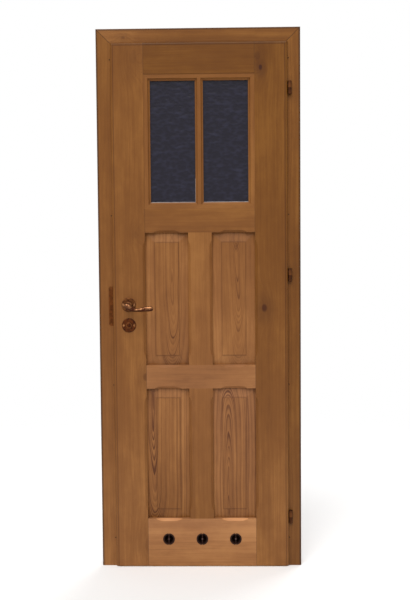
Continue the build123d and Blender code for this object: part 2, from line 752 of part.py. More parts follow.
def lock_box(grow):
    """Outside of the lock case, or its mortise when grown."""
    half = CASE_T / 2 + grow
    return block(CASE_X0, CASE_X1 + grow, LOCK_Y - half, LOCK_Y + half, CASE_Z0 - grow, CASE_Z1 + grow)


def forend_plate(grow):
    """Long plate on the leaf's edge, with round ends, or its recess when grown."""
    half = FOREND_W / 2 + grow
    plate = block(
        -BODY_X,
        CASE_X0,
        LOCK_Y - half,
        LOCK_Y + half,
        FOREND_Z0 - grow,
        FOREND_Z1 + grow,
    )
    return fillet(plate.edges().filter_by(Axis.X), half - GLUE_GAP)


def latch_slot(grow):
    half_t, half_h = BOLT_T / 2 + grow, LATCH_H / 2 + grow
    x0, x1 = -BODY_X, CASE_X0 + CASE_WALL
    return block(x0, x1, LOCK_Y - half_t, LOCK_Y + half_t, LATCH_Z - half_h, LATCH_Z + half_h)


def bolt_slot(grow):
    half_t, half_h = BOLT_T / 2 + grow, BOLT_H / 2 + grow
    x0, x1 = -BODY_X, CASE_X0 + CASE_WALL
    return block(x0, x1, LOCK_Y - half_t, LOCK_Y + half_t, BOLT_Z - half_h, BOLT_Z + half_h)


def through_case(radius, x, z):
    return rod(radius, (x, LOCK_Y - CASE_T, z), (x, LOCK_Y + CASE_T, z))


def forend_screw_zs():
    return (FOREND_Z0 + FOREND_SCREW_IN, FOREND_Z1 - FOREND_SCREW_IN)


def rose_screw_places():
    """The through screws: one each side of each spindle."""
    return [(SPINDLE_X + side * SCREW_SPREAD, z) for z in (LEVER_Z, PRIVACY_Z) for side in (-1, 1)]


def lock_case():
    """Hollow case with its forend, bored for the followers and the through screws."""
    case = lock_box(0) - block(
        CASE_X0 + CASE_WALL,
        CASE_X1 - CASE_WALL,
        LOCK_Y - CASE_T / 2 + CASE_WALL,
        LOCK_Y + CASE_T / 2 - CASE_WALL,
        CASE_Z0 + CASE_WALL,
        CASE_Z1 - CASE_WALL,
    )
    case = case + forend_plate(0) - latch_slot(SLIDE_FIT) - bolt_slot(SLIDE_FIT)
    case -= through_case(FOLLOWER_JOURNAL_R + JOURNAL_FIT, SPINDLE_X, LEVER_Z)
    case -= through_case(PRIVACY_JOURNAL_R + JOURNAL_FIT, SPINDLE_X, PRIVACY_Z)
    case = cut_all(case, [through_case(SCREW_R + SCREW_FIT, x, z) for x, z in rose_screw_places()])
    return cut_all(case, [wood_screw((-BODY_X, LOCK_Y, z), (1, 0, 0), PILOT_FIT) for z in forend_screw_zs()])


def wood_screw(place, along, grow):
    """Countersunk wood screw, flush at its head."""
    start = Vector(*place)
    way = Vector(*along)
    shank = rod(WOOD_SCREW_R + grow, start, start + way * (WOOD_SCREW_L + grow))
    head_r = WOOD_SCREW_HEAD_R + grow
    return shank + cone(head_r, WOOD_SCREW_R, start, start + way * (head_r - WOOD_SCREW_R))


def latch():
    """Sprung latch: bevelled nose, body, and a tail with the hook that the follower draws."""
    y0, y1 = LOCK_Y - BOLT_T / 2, LOCK_Y + BOLT_T / 2
    nose, edge = -BODY_X - LATCH_OUT, -BODY_X
    back = nose + LATCH_BODY
    outline = Polyline((back, y0), (nose, y0), (nose, y0 + LATCH_NOSE), (edge, y1), (back, y1), close=True)
    base = Plane(origin=(0, 0, LATCH_Z - LATCH_H / 2))
    body = extrude(base * make_face(outline), amount=LATCH_H)
    hook_x = SPINDLE_X + ARM_TIP_R + ARM_GAP
    tail_y = (LOCK_Y - TAIL_T / 2, LOCK_Y + TAIL_T / 2)
    tail_z = LATCH_Z + LATCH_TAIL_H / 2
    body += block(back, hook_x + HOOK_L, *tail_y, LATCH_Z - LATCH_TAIL_H / 2, tail_z)
    hook_z = LEVER_Z + ARM_R - ARM_TIP_R
    return body + block(hook_x, hook_x + HOOK_L, *tail_y, hook_z, tail_z)


def lug_rest():
    """Place of the privacy follower's lug with the bolt drawn in."""
    reach = LUG_ARM * math.sin(math.pi / 4)
    return SPINDLE_X + reach, PRIVACY_Z + reach


def dead_bolt():
    """Privacy bolt: head, and a slotted leg round the follower's lug."""
    face = -BODY_X + BOLT_FLUSH
    middle = lug_rest()[0]
    inner = LUG_R + LUG_GAP
    outer = inner + LEG_WALL
    half = BOLT_T / 2
    bar = block(face, middle + outer, LOCK_Y - half, LOCK_Y + half, BOLT_Z - BOLT_H / 2, BOLT_Z + BOLT_H / 2)
    leg_z = PRIVACY_Z + PRIVACY_HUB_R + LEG_GAP
    leg_y = (LOCK_Y - TAIL_T / 2, LOCK_Y + TAIL_T / 2)
    leg = block(middle - outer, middle + outer, *leg_y, leg_z, BOLT_Z - BOLT_H / 2)
    slot_top = PRIVACY_Z + LUG_ARM + inner
    return bar + leg - block(middle - inner, middle + inner, *leg_y, leg_z, slot_top)


def hub(z, radius, journal_radius, square):
    """Follower's round part: hub inside the case, journals in its walls, square hole through."""
    inside = CASE_T / 2 - CASE_WALL - ARM_GAP
    body = rod(radius, (SPINDLE_X, LOCK_Y - inside, z), (SPINDLE_X, LOCK_Y + inside, z))
    half = CASE_T / 2
    body += rod(journal_radius, (SPINDLE_X, LOCK_Y - half, z), (SPINDLE_X, LOCK_Y + half, z))
    side = square / 2 + SQUARE_FIT
    hole = block(SPINDLE_X - side, SPINDLE_X + side, LOCK_Y - CASE_T, LOCK_Y + CASE_T, z - side, z + side)
    return body, hole


def lever_follower():
    """Follower with an upright arm behind the latch's hook."""
    body, hole = hub(LEVER_Z, FOLLOWER_R, FOLLOWER_JOURNAL_R, SPINDLE)
    y0, y1 = LOCK_Y - TAIL_T / 2, LOCK_Y + TAIL_T / 2
    tip = LEVER_Z + ARM_R
    body += block(SPINDLE_X - ARM_TIP_R, SPINDLE_X + ARM_TIP_R, y0, y1, LEVER_Z, tip)
    return body + rod(ARM_TIP_R, (SPINDLE_X, y0, tip), (SPINDLE_X, y1, tip)) - hole


def bolt_follower():
    """Follower with a lug in the slot of the dead bolt's leg."""
    body, hole = hub(PRIVACY_Z, PRIVACY_HUB_R, PRIVACY_JOURNAL_R, PRIVACY_SPINDLE)
    y0, y1 = LOCK_Y - TAIL_T / 2, LOCK_Y + TAIL_T / 2
    x, z = lug_rest()
    lug = rod(LUG_R, (x, y0, z), (x, y1, z))
    arm = block(0, LUG_ARM, y0, y1, -LUG_ARM_T / 2, LUG_ARM_T / 2)
    arm = Pos(SPINDLE_X, 0, PRIVACY_Z) * Rot(0, -45, 0) * arm
    return body + arm + lug - hole


# Roses, levers and turns


def outward(face, distance):
    """Depth at a distance out from one face of the leaf."""
    return face * (LEAF_T / 2 + distance)


def rose(face, z, collar_h):
    """Round rose with a collar that guides the neck, and holes for the through screws."""
    plate = rod(ROSE_R, (SPINDLE_X, outward(face, 0), z), (SPINDLE_X, outward(face, ROSE_T), z))
    rim = plate.edges().filter_by(GeomType.CIRCLE).sort_by(Axis.Y)[-1 if face > 0 else 0]
    plate = fillet(rim, ROSE_ROUND)
    collar = rod(COLLAR_R, (SPINDLE_X, outward(face, 0), z), (SPINDLE_X, outward(face, collar_h), z))
    rim = collar.edges().filter_by(GeomType.CIRCLE).sort_by(Axis.Y)[-1 if face > 0 else 0]
    body = plate + fillet(rim, COLLAR_ROUND)
    bore = NECK_R + NECK_FIT
    body -= rod(bore, (SPINDLE_X, outward(face, 0), z), (SPINDLE_X, outward(face, collar_h), z))
    for x, screw_z in rose_screw_places():
        if screw_z == z:
            depth = ROSE_T if face == FRONT else SCREW_BITE
            body -= rod(SCREW_R + PILOT_FIT, (x, outward(face, 0), z), (x, outward(face, depth), z))
    return body


def rose_screw(x, z):
    """Through screw with its head on the front rose and its end in the rear one."""
    face = outward(FRONT, ROSE_T)
    shank = rod(SCREW_R, (x, face, z), (x, outward(REAR, SCREW_BITE), z))
    head_part = rod(SCREW_HEAD_R, (x, face - SCREW_HEAD_H, z), (x, face, z))
    rim = head_part.edges().filter_by(GeomType.CIRCLE).sort_by(Axis.Y)[0]
    return shank + fillet(rim, SCREW_HEAD_ROUND)


def grip(face):
    """Waved grip of a lever, through its stations."""
    depth = LEVER_REACH - max(station[3] for station in GRIP)
    outlines = []
    for along, down, half_h, half_d in GRIP:
        place = Plane(
            origin=(SPINDLE_X + along, outward(face, depth), LEVER_Z - down),
            x_dir=(0, 1, 0),
            z_dir=(1, 0, 0),
        )
        outlines.append(place * Ellipse(half_d, half_h))
    neck_end = outward(face, depth)
    neck = rod(NECK_R, (SPINDLE_X, outward(face, NECK_START), LEVER_Z), (SPINDLE_X, neck_end, LEVER_Z))
    return loft(outlines) + neck


def square_bar(side, z, y0, y1):
    half = side / 2
    return block(SPINDLE_X - half, SPINDLE_X + half, min(y0, y1), max(y0, y1), z - half, z + half)


def spindle_end():
    """How far the spindles reach into what they drive, out from the leaf's faces."""
    return LEVER_REACH / 2


def front_lever():
    """Front lever with the spindle fixed in it."""
    bar = square_bar(SPINDLE, LEVER_Z, outward(FRONT, spindle_end()), outward(REAR, spindle_end()))
    return grip(FRONT) + bar


def rear_lever():
    """Rear lever with a square socket."""
    side = SPINDLE + 2 * SQUARE_FIT
    end = outward(REAR, spindle_end() + SQUARE_FIT)
    return grip(REAR) - square_bar(side, LEVER_Z, outward(REAR, 0), end)


def release_disc():
    """Coin-slotted disc of the front privacy rose."""
    inner, outer = outward(FRONT, NECK_START), outward(FRONT, DISC_OUT)
    disc = rod(NECK_R, (SPINDLE_X, inner, PRIVACY_Z), (SPINDLE_X, outer, PRIVACY_Z))
    rim = disc.edges().filter_by(GeomType.CIRCLE).sort_by(Axis.Y)[0]
    disc = fillet(rim, COLLAR_ROUND / 2)
    disc -= block(
        SPINDLE_X - COIN_SLOT_L / 2,
        SPINDLE_X + COIN_SLOT_L / 2,
        outer,
        outer + COIN_SLOT_D,
        PRIVACY_Z - COIN_SLOT_W / 2,
        PRIVACY_Z + COIN_SLOT_W / 2,
    )
    side = PRIVACY_SPINDLE + 2 * SQUARE_FIT
    return disc - square_bar(side, PRIVACY_Z, inner, outward(FRONT, DISC_OUT / 2 + SQUARE_FIT))


def thumb_turn():
    """Knob of the rear privacy rose, with the spindle fixed in it."""
    neck_end = outward(REAR, TURN_NECK_OUT)
    neck = rod(NECK_R, (SPINDLE_X, outward(REAR, NECK_START), PRIVACY_Z), (SPINDLE_X, neck_end, PRIVACY_Z))
    knob = Box(*TURN_KNOB, align=(Align.CENTER, Align.MIN, Align.CENTER))
    knob = fillet(knob.edges(), TURN_ROUND)
    knob = Pos(SPINDLE_X, neck_end - TURN_ROUND, PRIVACY_Z) * knob
    bar = square_bar(PRIVACY_SPINDLE, PRIVACY_Z, outward(FRONT, DISC_OUT / 2), neck_end)
    return neck + knob + bar


# Strike plate


def strike_outline(grow):
    """Angle plate on the jamb's corner, or its recess when grown."""
    z0, z1 = STRIKE_Z0 - grow, STRIKE_Z1 + grow
    face_leg = block(
        -REBATE_X - STRIKE_FACE - grow,
        -REBATE_X,
        FACE_FRONT,
        FACE_FRONT + STRIKE_T + grow,
        z0,
        z1,
    )
    edge_leg = block(
        -REBATE_X - STRIKE_T - grow,
        -REBATE_X,
        FACE_FRONT,
        FACE_FRONT + STRIKE_EDGE + grow,
        z0,
        z1,
    )
    corners = face_leg.edges().filter_by(Axis.Y).group_by(Axis.X)[0]
    face_leg = fillet(corners, STRIKE_ROUND)
    corners = edge_leg.edges().filter_by(Axis.X).group_by(Axis.Y)[-1]
    return face_leg + fillet(corners, STRIKE_ROUND)


def strike_openings(depth):
    """Holes for the latch and the dead bolt, to a depth behind the rebate's face."""
    half_t = BOLT_T / 2 + STRIKE_HOLE_CLEAR
    holes = []
    for z, height in ((LATCH_Z, LATCH_H), (BOLT_Z, BOLT_H)):
        half_h = height / 2 + STRIKE_HOLE_CLEAR
        x0, x1 = -REBATE_X - depth, -REBATE_X
        holes.append(block(x0, x1, LOCK_Y - half_t, LOCK_Y + half_t, z - half_h, z + half_h))
    return holes


def strike_screw(z, grow):
    x = -REBATE_X - STRIKE_FACE + STRIKE_SCREW_X
    return wood_screw((x, FACE_FRONT, z), (0, 1, 0), grow)


def strike_screw_zs():
    return (STRIKE_Z0 + STRIKE_SCREW_IN, STRIKE_Z1 - STRIKE_SCREW_IN)


def strike_cutters():
    """What the strike plate, its holes and its screws take out of the lock jamb and its face board."""
    cutters = [strike_outline(GLUE_GAP), *strike_openings(STRIKE_POCKET)]
    return cutters + [strike_screw(z, PILOT_FIT) for z in strike_screw_zs()]


# Assembly


def write_frame():
    studs = [hinge_stud(z - STUD_UP, "frame", STUD_R + STUD_FIT) for z in HINGE_ZS.values()]
    pilots = {side: [nail(side, z, NAIL_R + PILOT_FIT, NAIL_R) for z in NAIL_ZS] for side in (-1, 1)}
    corner_sizes = (CORNER_SCREW_R, CORNER_SCREW_HEAD_R, CORNER_SCREW_HEAD_H)
    corner_holes = (CORNER_SCREW_R + PILOT_FIT, CORNER_SCREW_HEAD_R + PILOT_FIT, CORNER_SCREW_HEAD_H + PILOT_FIT)
    holes = {side: [corner_screw(side, y, *corner_holes) for y in CORNER_SCREW_YS] for side in (-1, 1)}
    write("lock_jamb", cut_all(jamb(-1), strike_cutters() + pilots[-1] + holes[-1]))
    write("hinge_jamb", cut_all(jamb(1), studs + pilots[1] + holes[1]))
    write("head_jamb", cut_all(head(), holes[-1] + holes[1]))
    write("lock_face_board", cut_all(side_face_board(-1), strike_cutters() + pilots[-1]))
    write("hinge_face_board", cut_all(side_face_board(1), studs + pilots[1]))
    write("head_face_board", head_face_board())
    write("frame_seal", seal())
    write("face_board_nails", *[nail(side, z, NAIL_R, NAIL_HEAD_R) for side in (-1, 1) for z in NAIL_ZS])
    write("corner_screws", *[corner_screw(side, y, *corner_sizes) for side in (-1, 1) for y in CORNER_SCREW_YS])
    plate = cut_all(strike_outline(0), strike_openings(STRIKE_T))
    write("strike_plate", cut_all(plate, [strike_screw(z, PILOT_FIT) for z in strike_screw_zs()]))
    write("strike_screws", *[strike_screw(z, 0) for z in strike_screw_zs()])


def lock_cutters():
    """What the lock, its spindles and the rose screws take out of the lock stile."""
    cutters = [lock_box(LOCK_FIT), forend_plate(GLUE_GAP)]
    for z in (LEVER_Z, PRIVACY_Z):
        cutters.append(rod(SPINDLE_HOLE_R, (SPINDLE_X, LEAF_FRONT, z), (SPINDLE_X, LEAF_BACK, z)))
    for x, z in rose_screw_places():
        cutters.append(rod(SCREW_R + SCREW_FIT, (x, LEAF_FRONT, z), (x, LEAF_BACK, z)))
    return cutters + [wood_screw((-BODY_X, LOCK_Y, z), (1, 0, 0), PILOT_FIT) for z in forend_screw_zs()]


def write_joinery():
    blank = leaf_blank()
    studs = [hinge_stud(z + STUD_UP, "leaf", STUD_R + STUD_FIT) for z in HINGE_ZS.values()]
    write("lock_stile", cut_all(stile(-1, blank), lock_cutters()))
    write("hinge_stile", cut_all(stile(1, blank), studs))
    for name in RAILS:
        board = rail(name, blank)
        if name == "bottom_rail":
            board = cut_all(board, [vent_hole(place) for place in (-1, 0, 1)])
        write(name, board)
    write("lower_muntin", muntin(ROWS[0]))
    write("upper_muntin", muntin(ROWS[1]))
    for opening in OPENINGS:
        write(f"{opening}_panel", raised_panel(opening))


def write_window():
    for word, face in (("front", FRONT), ("rear", REAR)):
        beads = {name: bead(name, face) for name in ("top", "bottom", "left", "right")}
        for name, piece in beads.items():
            write(f"{word}_bead_{name}", piece)
        write(f"{word}_glazing_bar", glazing_bar(face, [beads["top"], beads["bottom"]]))
    write("left_pane", pane(-1))
    write("right_pane", pane(1))


def write_hardware():
    for word, place in (("left", -1), ("middle", 0), ("right", 1)):
        write(f"{word}_vent_sleeve", front_vent(place))
    write("rear_vent_sleeves", *[rear_vent(place) for place in (-1, 0, 1)])
    for word, z in HINGE_ZS.items():
        write(f"{word}_hinge_frame_half", frame_half(z))
        write(f"{word}_hinge_leaf_half", leaf_half(z))
    write("lock_case", lock_case())
    write("forend_screws", *[wood_screw((-BODY_X, LOCK_Y, z), (1, 0, 0), 0) for z in forend_screw_zs()])
    write("latch_bolt", latch())
    write("dead_bolt", dead_bolt())
    write("lever_follower", lever_follower())
    write("bolt_follower", bolt_follower())
    for word, face in (("front", FRONT), ("rear", REAR)):
        write(f"{word}_lever_rose", rose(face, LEVER_Z, LEVER_COLLAR_H))
        write(f"{word}_privacy_rose", rose(face, PRIVACY_Z, PRIVACY_COLLAR_H))
    write("rose_screws", *[rose_screw(x, z) for x, z in rose_screw_places()])
    write("front_lever", front_lever())
    write("rear_lever", rear_lever())
    write("release_disc", release_disc())
    write("thumb_turn", thumb_turn())


os.makedirs("parts", exist_ok=True)
write_frame()
write_joinery()
write_window()
write_hardware()
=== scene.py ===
import math
import random
from dataclasses import dataclass
from typing import NamedTuple

import bpy
from mathutils import Matrix, Vector


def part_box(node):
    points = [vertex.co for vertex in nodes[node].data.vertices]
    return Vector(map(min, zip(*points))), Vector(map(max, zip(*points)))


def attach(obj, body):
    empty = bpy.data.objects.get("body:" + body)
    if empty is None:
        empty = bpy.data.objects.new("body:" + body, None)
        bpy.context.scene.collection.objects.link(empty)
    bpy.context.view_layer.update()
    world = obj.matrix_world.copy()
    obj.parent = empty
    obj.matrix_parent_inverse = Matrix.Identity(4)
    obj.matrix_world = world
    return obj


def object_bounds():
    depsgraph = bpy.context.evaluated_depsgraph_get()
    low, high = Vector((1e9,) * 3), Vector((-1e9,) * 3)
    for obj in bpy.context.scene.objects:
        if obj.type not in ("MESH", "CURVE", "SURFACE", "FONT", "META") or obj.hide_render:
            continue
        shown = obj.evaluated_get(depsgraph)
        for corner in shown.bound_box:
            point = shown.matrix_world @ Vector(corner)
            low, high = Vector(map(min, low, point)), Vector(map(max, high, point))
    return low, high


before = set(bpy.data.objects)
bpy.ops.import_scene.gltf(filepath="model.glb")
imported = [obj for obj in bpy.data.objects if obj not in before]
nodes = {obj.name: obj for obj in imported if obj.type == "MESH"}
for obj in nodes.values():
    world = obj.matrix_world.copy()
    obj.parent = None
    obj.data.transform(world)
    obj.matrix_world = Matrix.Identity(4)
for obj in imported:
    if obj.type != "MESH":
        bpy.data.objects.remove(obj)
cad_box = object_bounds()
scene = bpy.context.scene


def rgba(red, green, blue):
    """Linear colour from 8-bit screen values."""
    def linear(value):
        value /= 255
        return value / 12.92 if value <= 0.04045 else ((value + 0.055) / 1.055) ** 2.4
    return (linear(red), linear(green), linear(blue), 1.0)


class Tree:
    """A material's nodes, built by short calls that return sockets."""

    def __init__(self, name):
        self.material = bpy.data.materials.new(name)
        self.material.use_nodes = True
        self.tree = self.material.node_tree
        self.tree.nodes.clear()
        self.shader = self.node("ShaderNodeBsdfPrincipled")
        output = self.node("ShaderNodeOutputMaterial")
        self.tree.links.new(self.shader.outputs[0], output.inputs[0])

    def node(self, kind, **settings):
        made = self.tree.nodes.new(kind)
        for key, value in settings.items():
            setattr(made, key, value)
        return made

    def put(self, node, key, value):
        """Links or sets an input, whichever the value is."""
        socket = node.inputs[key]
        if isinstance(value, bpy.types.NodeSocket):
            self.tree.links.new(value, socket)
        else:
            socket.default_value = value

    def math(self, operation, *values, clamp=False):
        node = self.node("ShaderNodeMath", operation=operation, use_clamp=clamp)
        for index, value in enumerate(values):
            self.put(node, index, value)
        return node.outputs[0]

    def span(self, value, low, high, out_low=0.0, out_high=1.0, smooth=True):
        """The value carried from low..high to out_low..out_high, and held at both ends."""
        node = self.node("ShaderNodeMapRange", clamp=True)
        node.interpolation_type = "SMOOTHSTEP" if smooth else "LINEAR"
        for index, number in enumerate((value, low, high, out_low, out_high)):
            self.put(node, index, number)
        return node.outputs[0]

    def square(self, value):
        return self.math("MULTIPLY", value, value)

    def distance(self, first, second):
        return self.math("SQRT", self.math("ADD", self.square(first), self.square(second)))

    def split(self, vector):
        node = self.node("ShaderNodeSeparateXYZ")
        self.put(node, 0, vector)
        return node.outputs

    def vector(self, *values):
        node = self.node("ShaderNodeCombineXYZ")
        for index, value in enumerate(values):
            self.put(node, index, value)
        return node.outputs[0]

    def coordinates(self):
        return self.split(self.node("ShaderNodeTexCoord").outputs["Object"])

    def stretched(self, *scales):
        """The piece's own coordinates, each times its scale."""
        pairs = zip(self.coordinates(), scales)
        return self.vector(*[self.math("MULTIPLY", value, scale) for value, scale in pairs])

    def facing_up(self):
        """The height of the surface's normal in the piece's own frame: 1 faces up and -1 faces down."""
        return self.split(self.node("ShaderNodeTexCoord").outputs["Normal"])[2]

    def noise(self, vector, detail=2.0, roughness=0.5, scale=1.0):
        node = self.node("ShaderNodeTexNoise")
        self.put(node, "Vector", vector)
        self.put(node, "Scale", scale)
        self.put(node, "Detail", detail)
        self.put(node, "Roughness", roughness)
        return node.outputs[0]

    def openness(self, distance):
        """How open the surface is to its surroundings within the distance: 1 in the open, 0 in a crevice."""
        node = self.node("ShaderNodeAmbientOcclusion", samples=8)
        self.put(node, "Distance", distance)
        return node.outputs["AO"]

    def blend(self, factor, first, second):
        node = self.node("ShaderNodeMix", data_type="RGBA", blend_type="MIX")
        self.put(node, 0, factor)
        self.put(node, 6, first)
        self.put(node, 7, second)
        return node.outputs[2]

    def set(self, **values):
        for key, value in values.items():
            self.put(self.shader, key.replace("_", " "), value)

    def bump(self, height, distance, strength=1.0):
        node = self.node("ShaderNodeBump")
        self.put(node, "Strength", strength)
        self.put(node, "Distance", distance)
        self.put(node, "Height", height)
        self.put(self.shader, "Normal", node.outputs[0])


class Grain(NamedTuple):
    """A noise of the wood: how often it turns per metre across and along the grain, and how strong it is."""
    across: float
    along: float
    shift: float  # keeps it from repeating another grain
    amount: float
    detail: float = 2.0
    roughness: float = 0.5


LIGHT_WOOD = (154, 101, 46)
MID_WOOD = (130, 80, 32)
DARK_WOOD = (84, 43, 12)
KNOT = (72, 30, 4)
# dark of the joint lines, and of the painted shade in crevices and along outer edges
GRIME_AND_SHADE = (38, 18, 7)

SWAY = Grain(3.0, 2.1, 5.3, 0.030)  # the log's sideways wander, in metres
SAG = Grain(2.0, 5.0, 1.9, 0.022)  # its wander into the board
WAVES = Grain(24.0, 6.0, 9.1, 0.0045)  # slow ripple of the rings
RIPPLE = Grain(120.0, 16.0, 2.7, 0.0013)  # quick ripple of the rings
FIBRE = Grain(420.0, 9.0, 7.7, 0.34, 3.0, 0.65)
CLOUDS = Grain(5.0, 1.8, 3.3, 0.85, 3.0, 0.6)
STREAKS = Grain(38.0, 3.2, 4.4, 0.44, 3.0, 0.6)
BLOTCHES = Grain(26.0, 17.0, 8.8, 0.30, 3.0, 0.6)
SEED_DEEP, SEED_ALONG, SEED_YEARS = 0.7, 1.3, 3.1  # how far a seed moves each direction of a noise
YEARS_PER_RING = 0.31  # how much the strength of the rings changes from one to the next
BAND_SHARE = 0.75  # part of a ring's darkness that its year decides
PLAIN_DARK, RING_DARK, BAND_DARK = 0.26, 0.85, 0.22  # darkness of the wood, its rings and its dark years
LATE_RELIEF, FIBRE_RELIEF = -0.5, 0.6  # how the late wood sinks and the fibres stand out
KNOT_RIPPLE = 0.9  # how far the slow ripple frays a knot, in knot sizes
KNOT_W = 0.62  # width of a knot to its length
KNOT_REACH = (3.0, 1.7)  # how far a knot bends the rings along and across, in knot sizes
KNOT_SWELL = 2.2  # how strongly it bends them
HALO = 0.42  # darkness of a knot's halo to its core

# Spans: from, to, and then the result at each, where it isn't 0 and 1
TO_MID = (0.0, 0.42)
TO_DARK = (0.34, 1.0)
RING_FALL = (1.0, 0.87)  # end of the late wood, as a share of the ring
RING_PEAK = 0.84
RING_START = 0.86  # less the share of late wood
BAND = (0.36, 0.70)
BESIDE = (0.030, 0.085, 1.0, 0.40)  # how the rings fade away from the log's middle
KNOT_CORE = (1.3, 0.5)
KNOT_HALO = (4.2, 0.9)
SHOULDER_LINE = (0.0017, 0.0004, 0.0, 0.75)
MITRE_LINE = (0.0022, 0.0006, 0.0, 0.75)
OUTER_EDGE_SHADE = (-0.0095, -0.0040, 0.0, 0.62)
LEAN_PLACES = (-0.36, -0.05)
LEAF_FRONT = (-0.008, -0.010)  # depth at which the margin's painted shade begins
MARGIN_SHADE_LINE = (0.0030, 0.0010, 0.0, 0.55)
MARGIN_ROUND_SHADE = (0.0, 0.004)
MARGIN_TOP_SHADE = (-0.002, 0.002, 0.10, 0.26)  # painted shade on the rounding, deeper over the leaf's top than beside it
FIELD_SHADE_LINE = (0.0036, 0.0008, 0.0, 0.28)
FIELD_SHADE_LINE_OUT = 0.0008  # how far the middle of the painted shade line lies outside the field
FIELD_SLOPE_LIGHT = (0.002, 0.006, 1.0, 1.06)  # painted light on the slope outside the field, which lifts the recess's shade
# painted highlight on the chamfers that face up
SILL_UP = (0.35, 0.62)  # how far up the chamfers face
SILL_LEVEL = (0.96, 0.85)
TONE_SATURATION = (0.64, 1.30, 1.03, 0.915)
HEIGHT_SATURATION = (0.3, 1.9, 0.975, 1.02)
CREVICE = 0.004
# painted shade in crevices, by how open the surface is
CREVICE_SHADE = (0.5, 0.1, 0.0, 0.30)
VARNISH_ROUGHNESS = (-0.2, 0.2, 0.42, 0.54)
GRAIN_RELIEF = 0.00035

FRAME_HALF_W = cad_box[1][0]
FRAME_TOP = cad_box[1][2]


@dataclass
class Cut:
    """How a member is sawn from its log, and its tones. Places are in metres, and tones are factors."""
    axis: str  # "Z" or "X", the way the grain runs
    seed: float  # moves every noise, so that no two members match
    pith: float  # place of the log's middle across the member
    depth: float  # how far the log's middle lies behind the member
    shade: tuple  # tone at the foot and at the head: the wood's own tone together with painted shade where the light falls off
    lean: tuple = (1.0, 1.0)  # tone at the left end and at the middle: the wood's own tone together with painted light from the left
    bow: float = 0.0  # curve of the log, which draws pointed figures
    middle: float = 0.0  # place of the bow along the member
    squeeze: float = 1.0  # narrows the figures
    spacing: float = 0.0034  # width of a year ring
    figure: float = 0.4  # strength of the rings
    late_width: float = 0.6  # share of a ring that is late wood
    knots: tuple = ()  # each along, across, size and darkness
    shoulders: tuple = ()  # joint lines along the member
    mitred: bool = False
    sill: float = 1.0  # painted highlight on the chamfers that face up, as a gain
    margin: tuple = None  # the leaf's sunk edge: its left, right and top lines
    field: tuple = None  # raised part of a panel: its left, right, bottom and top edges


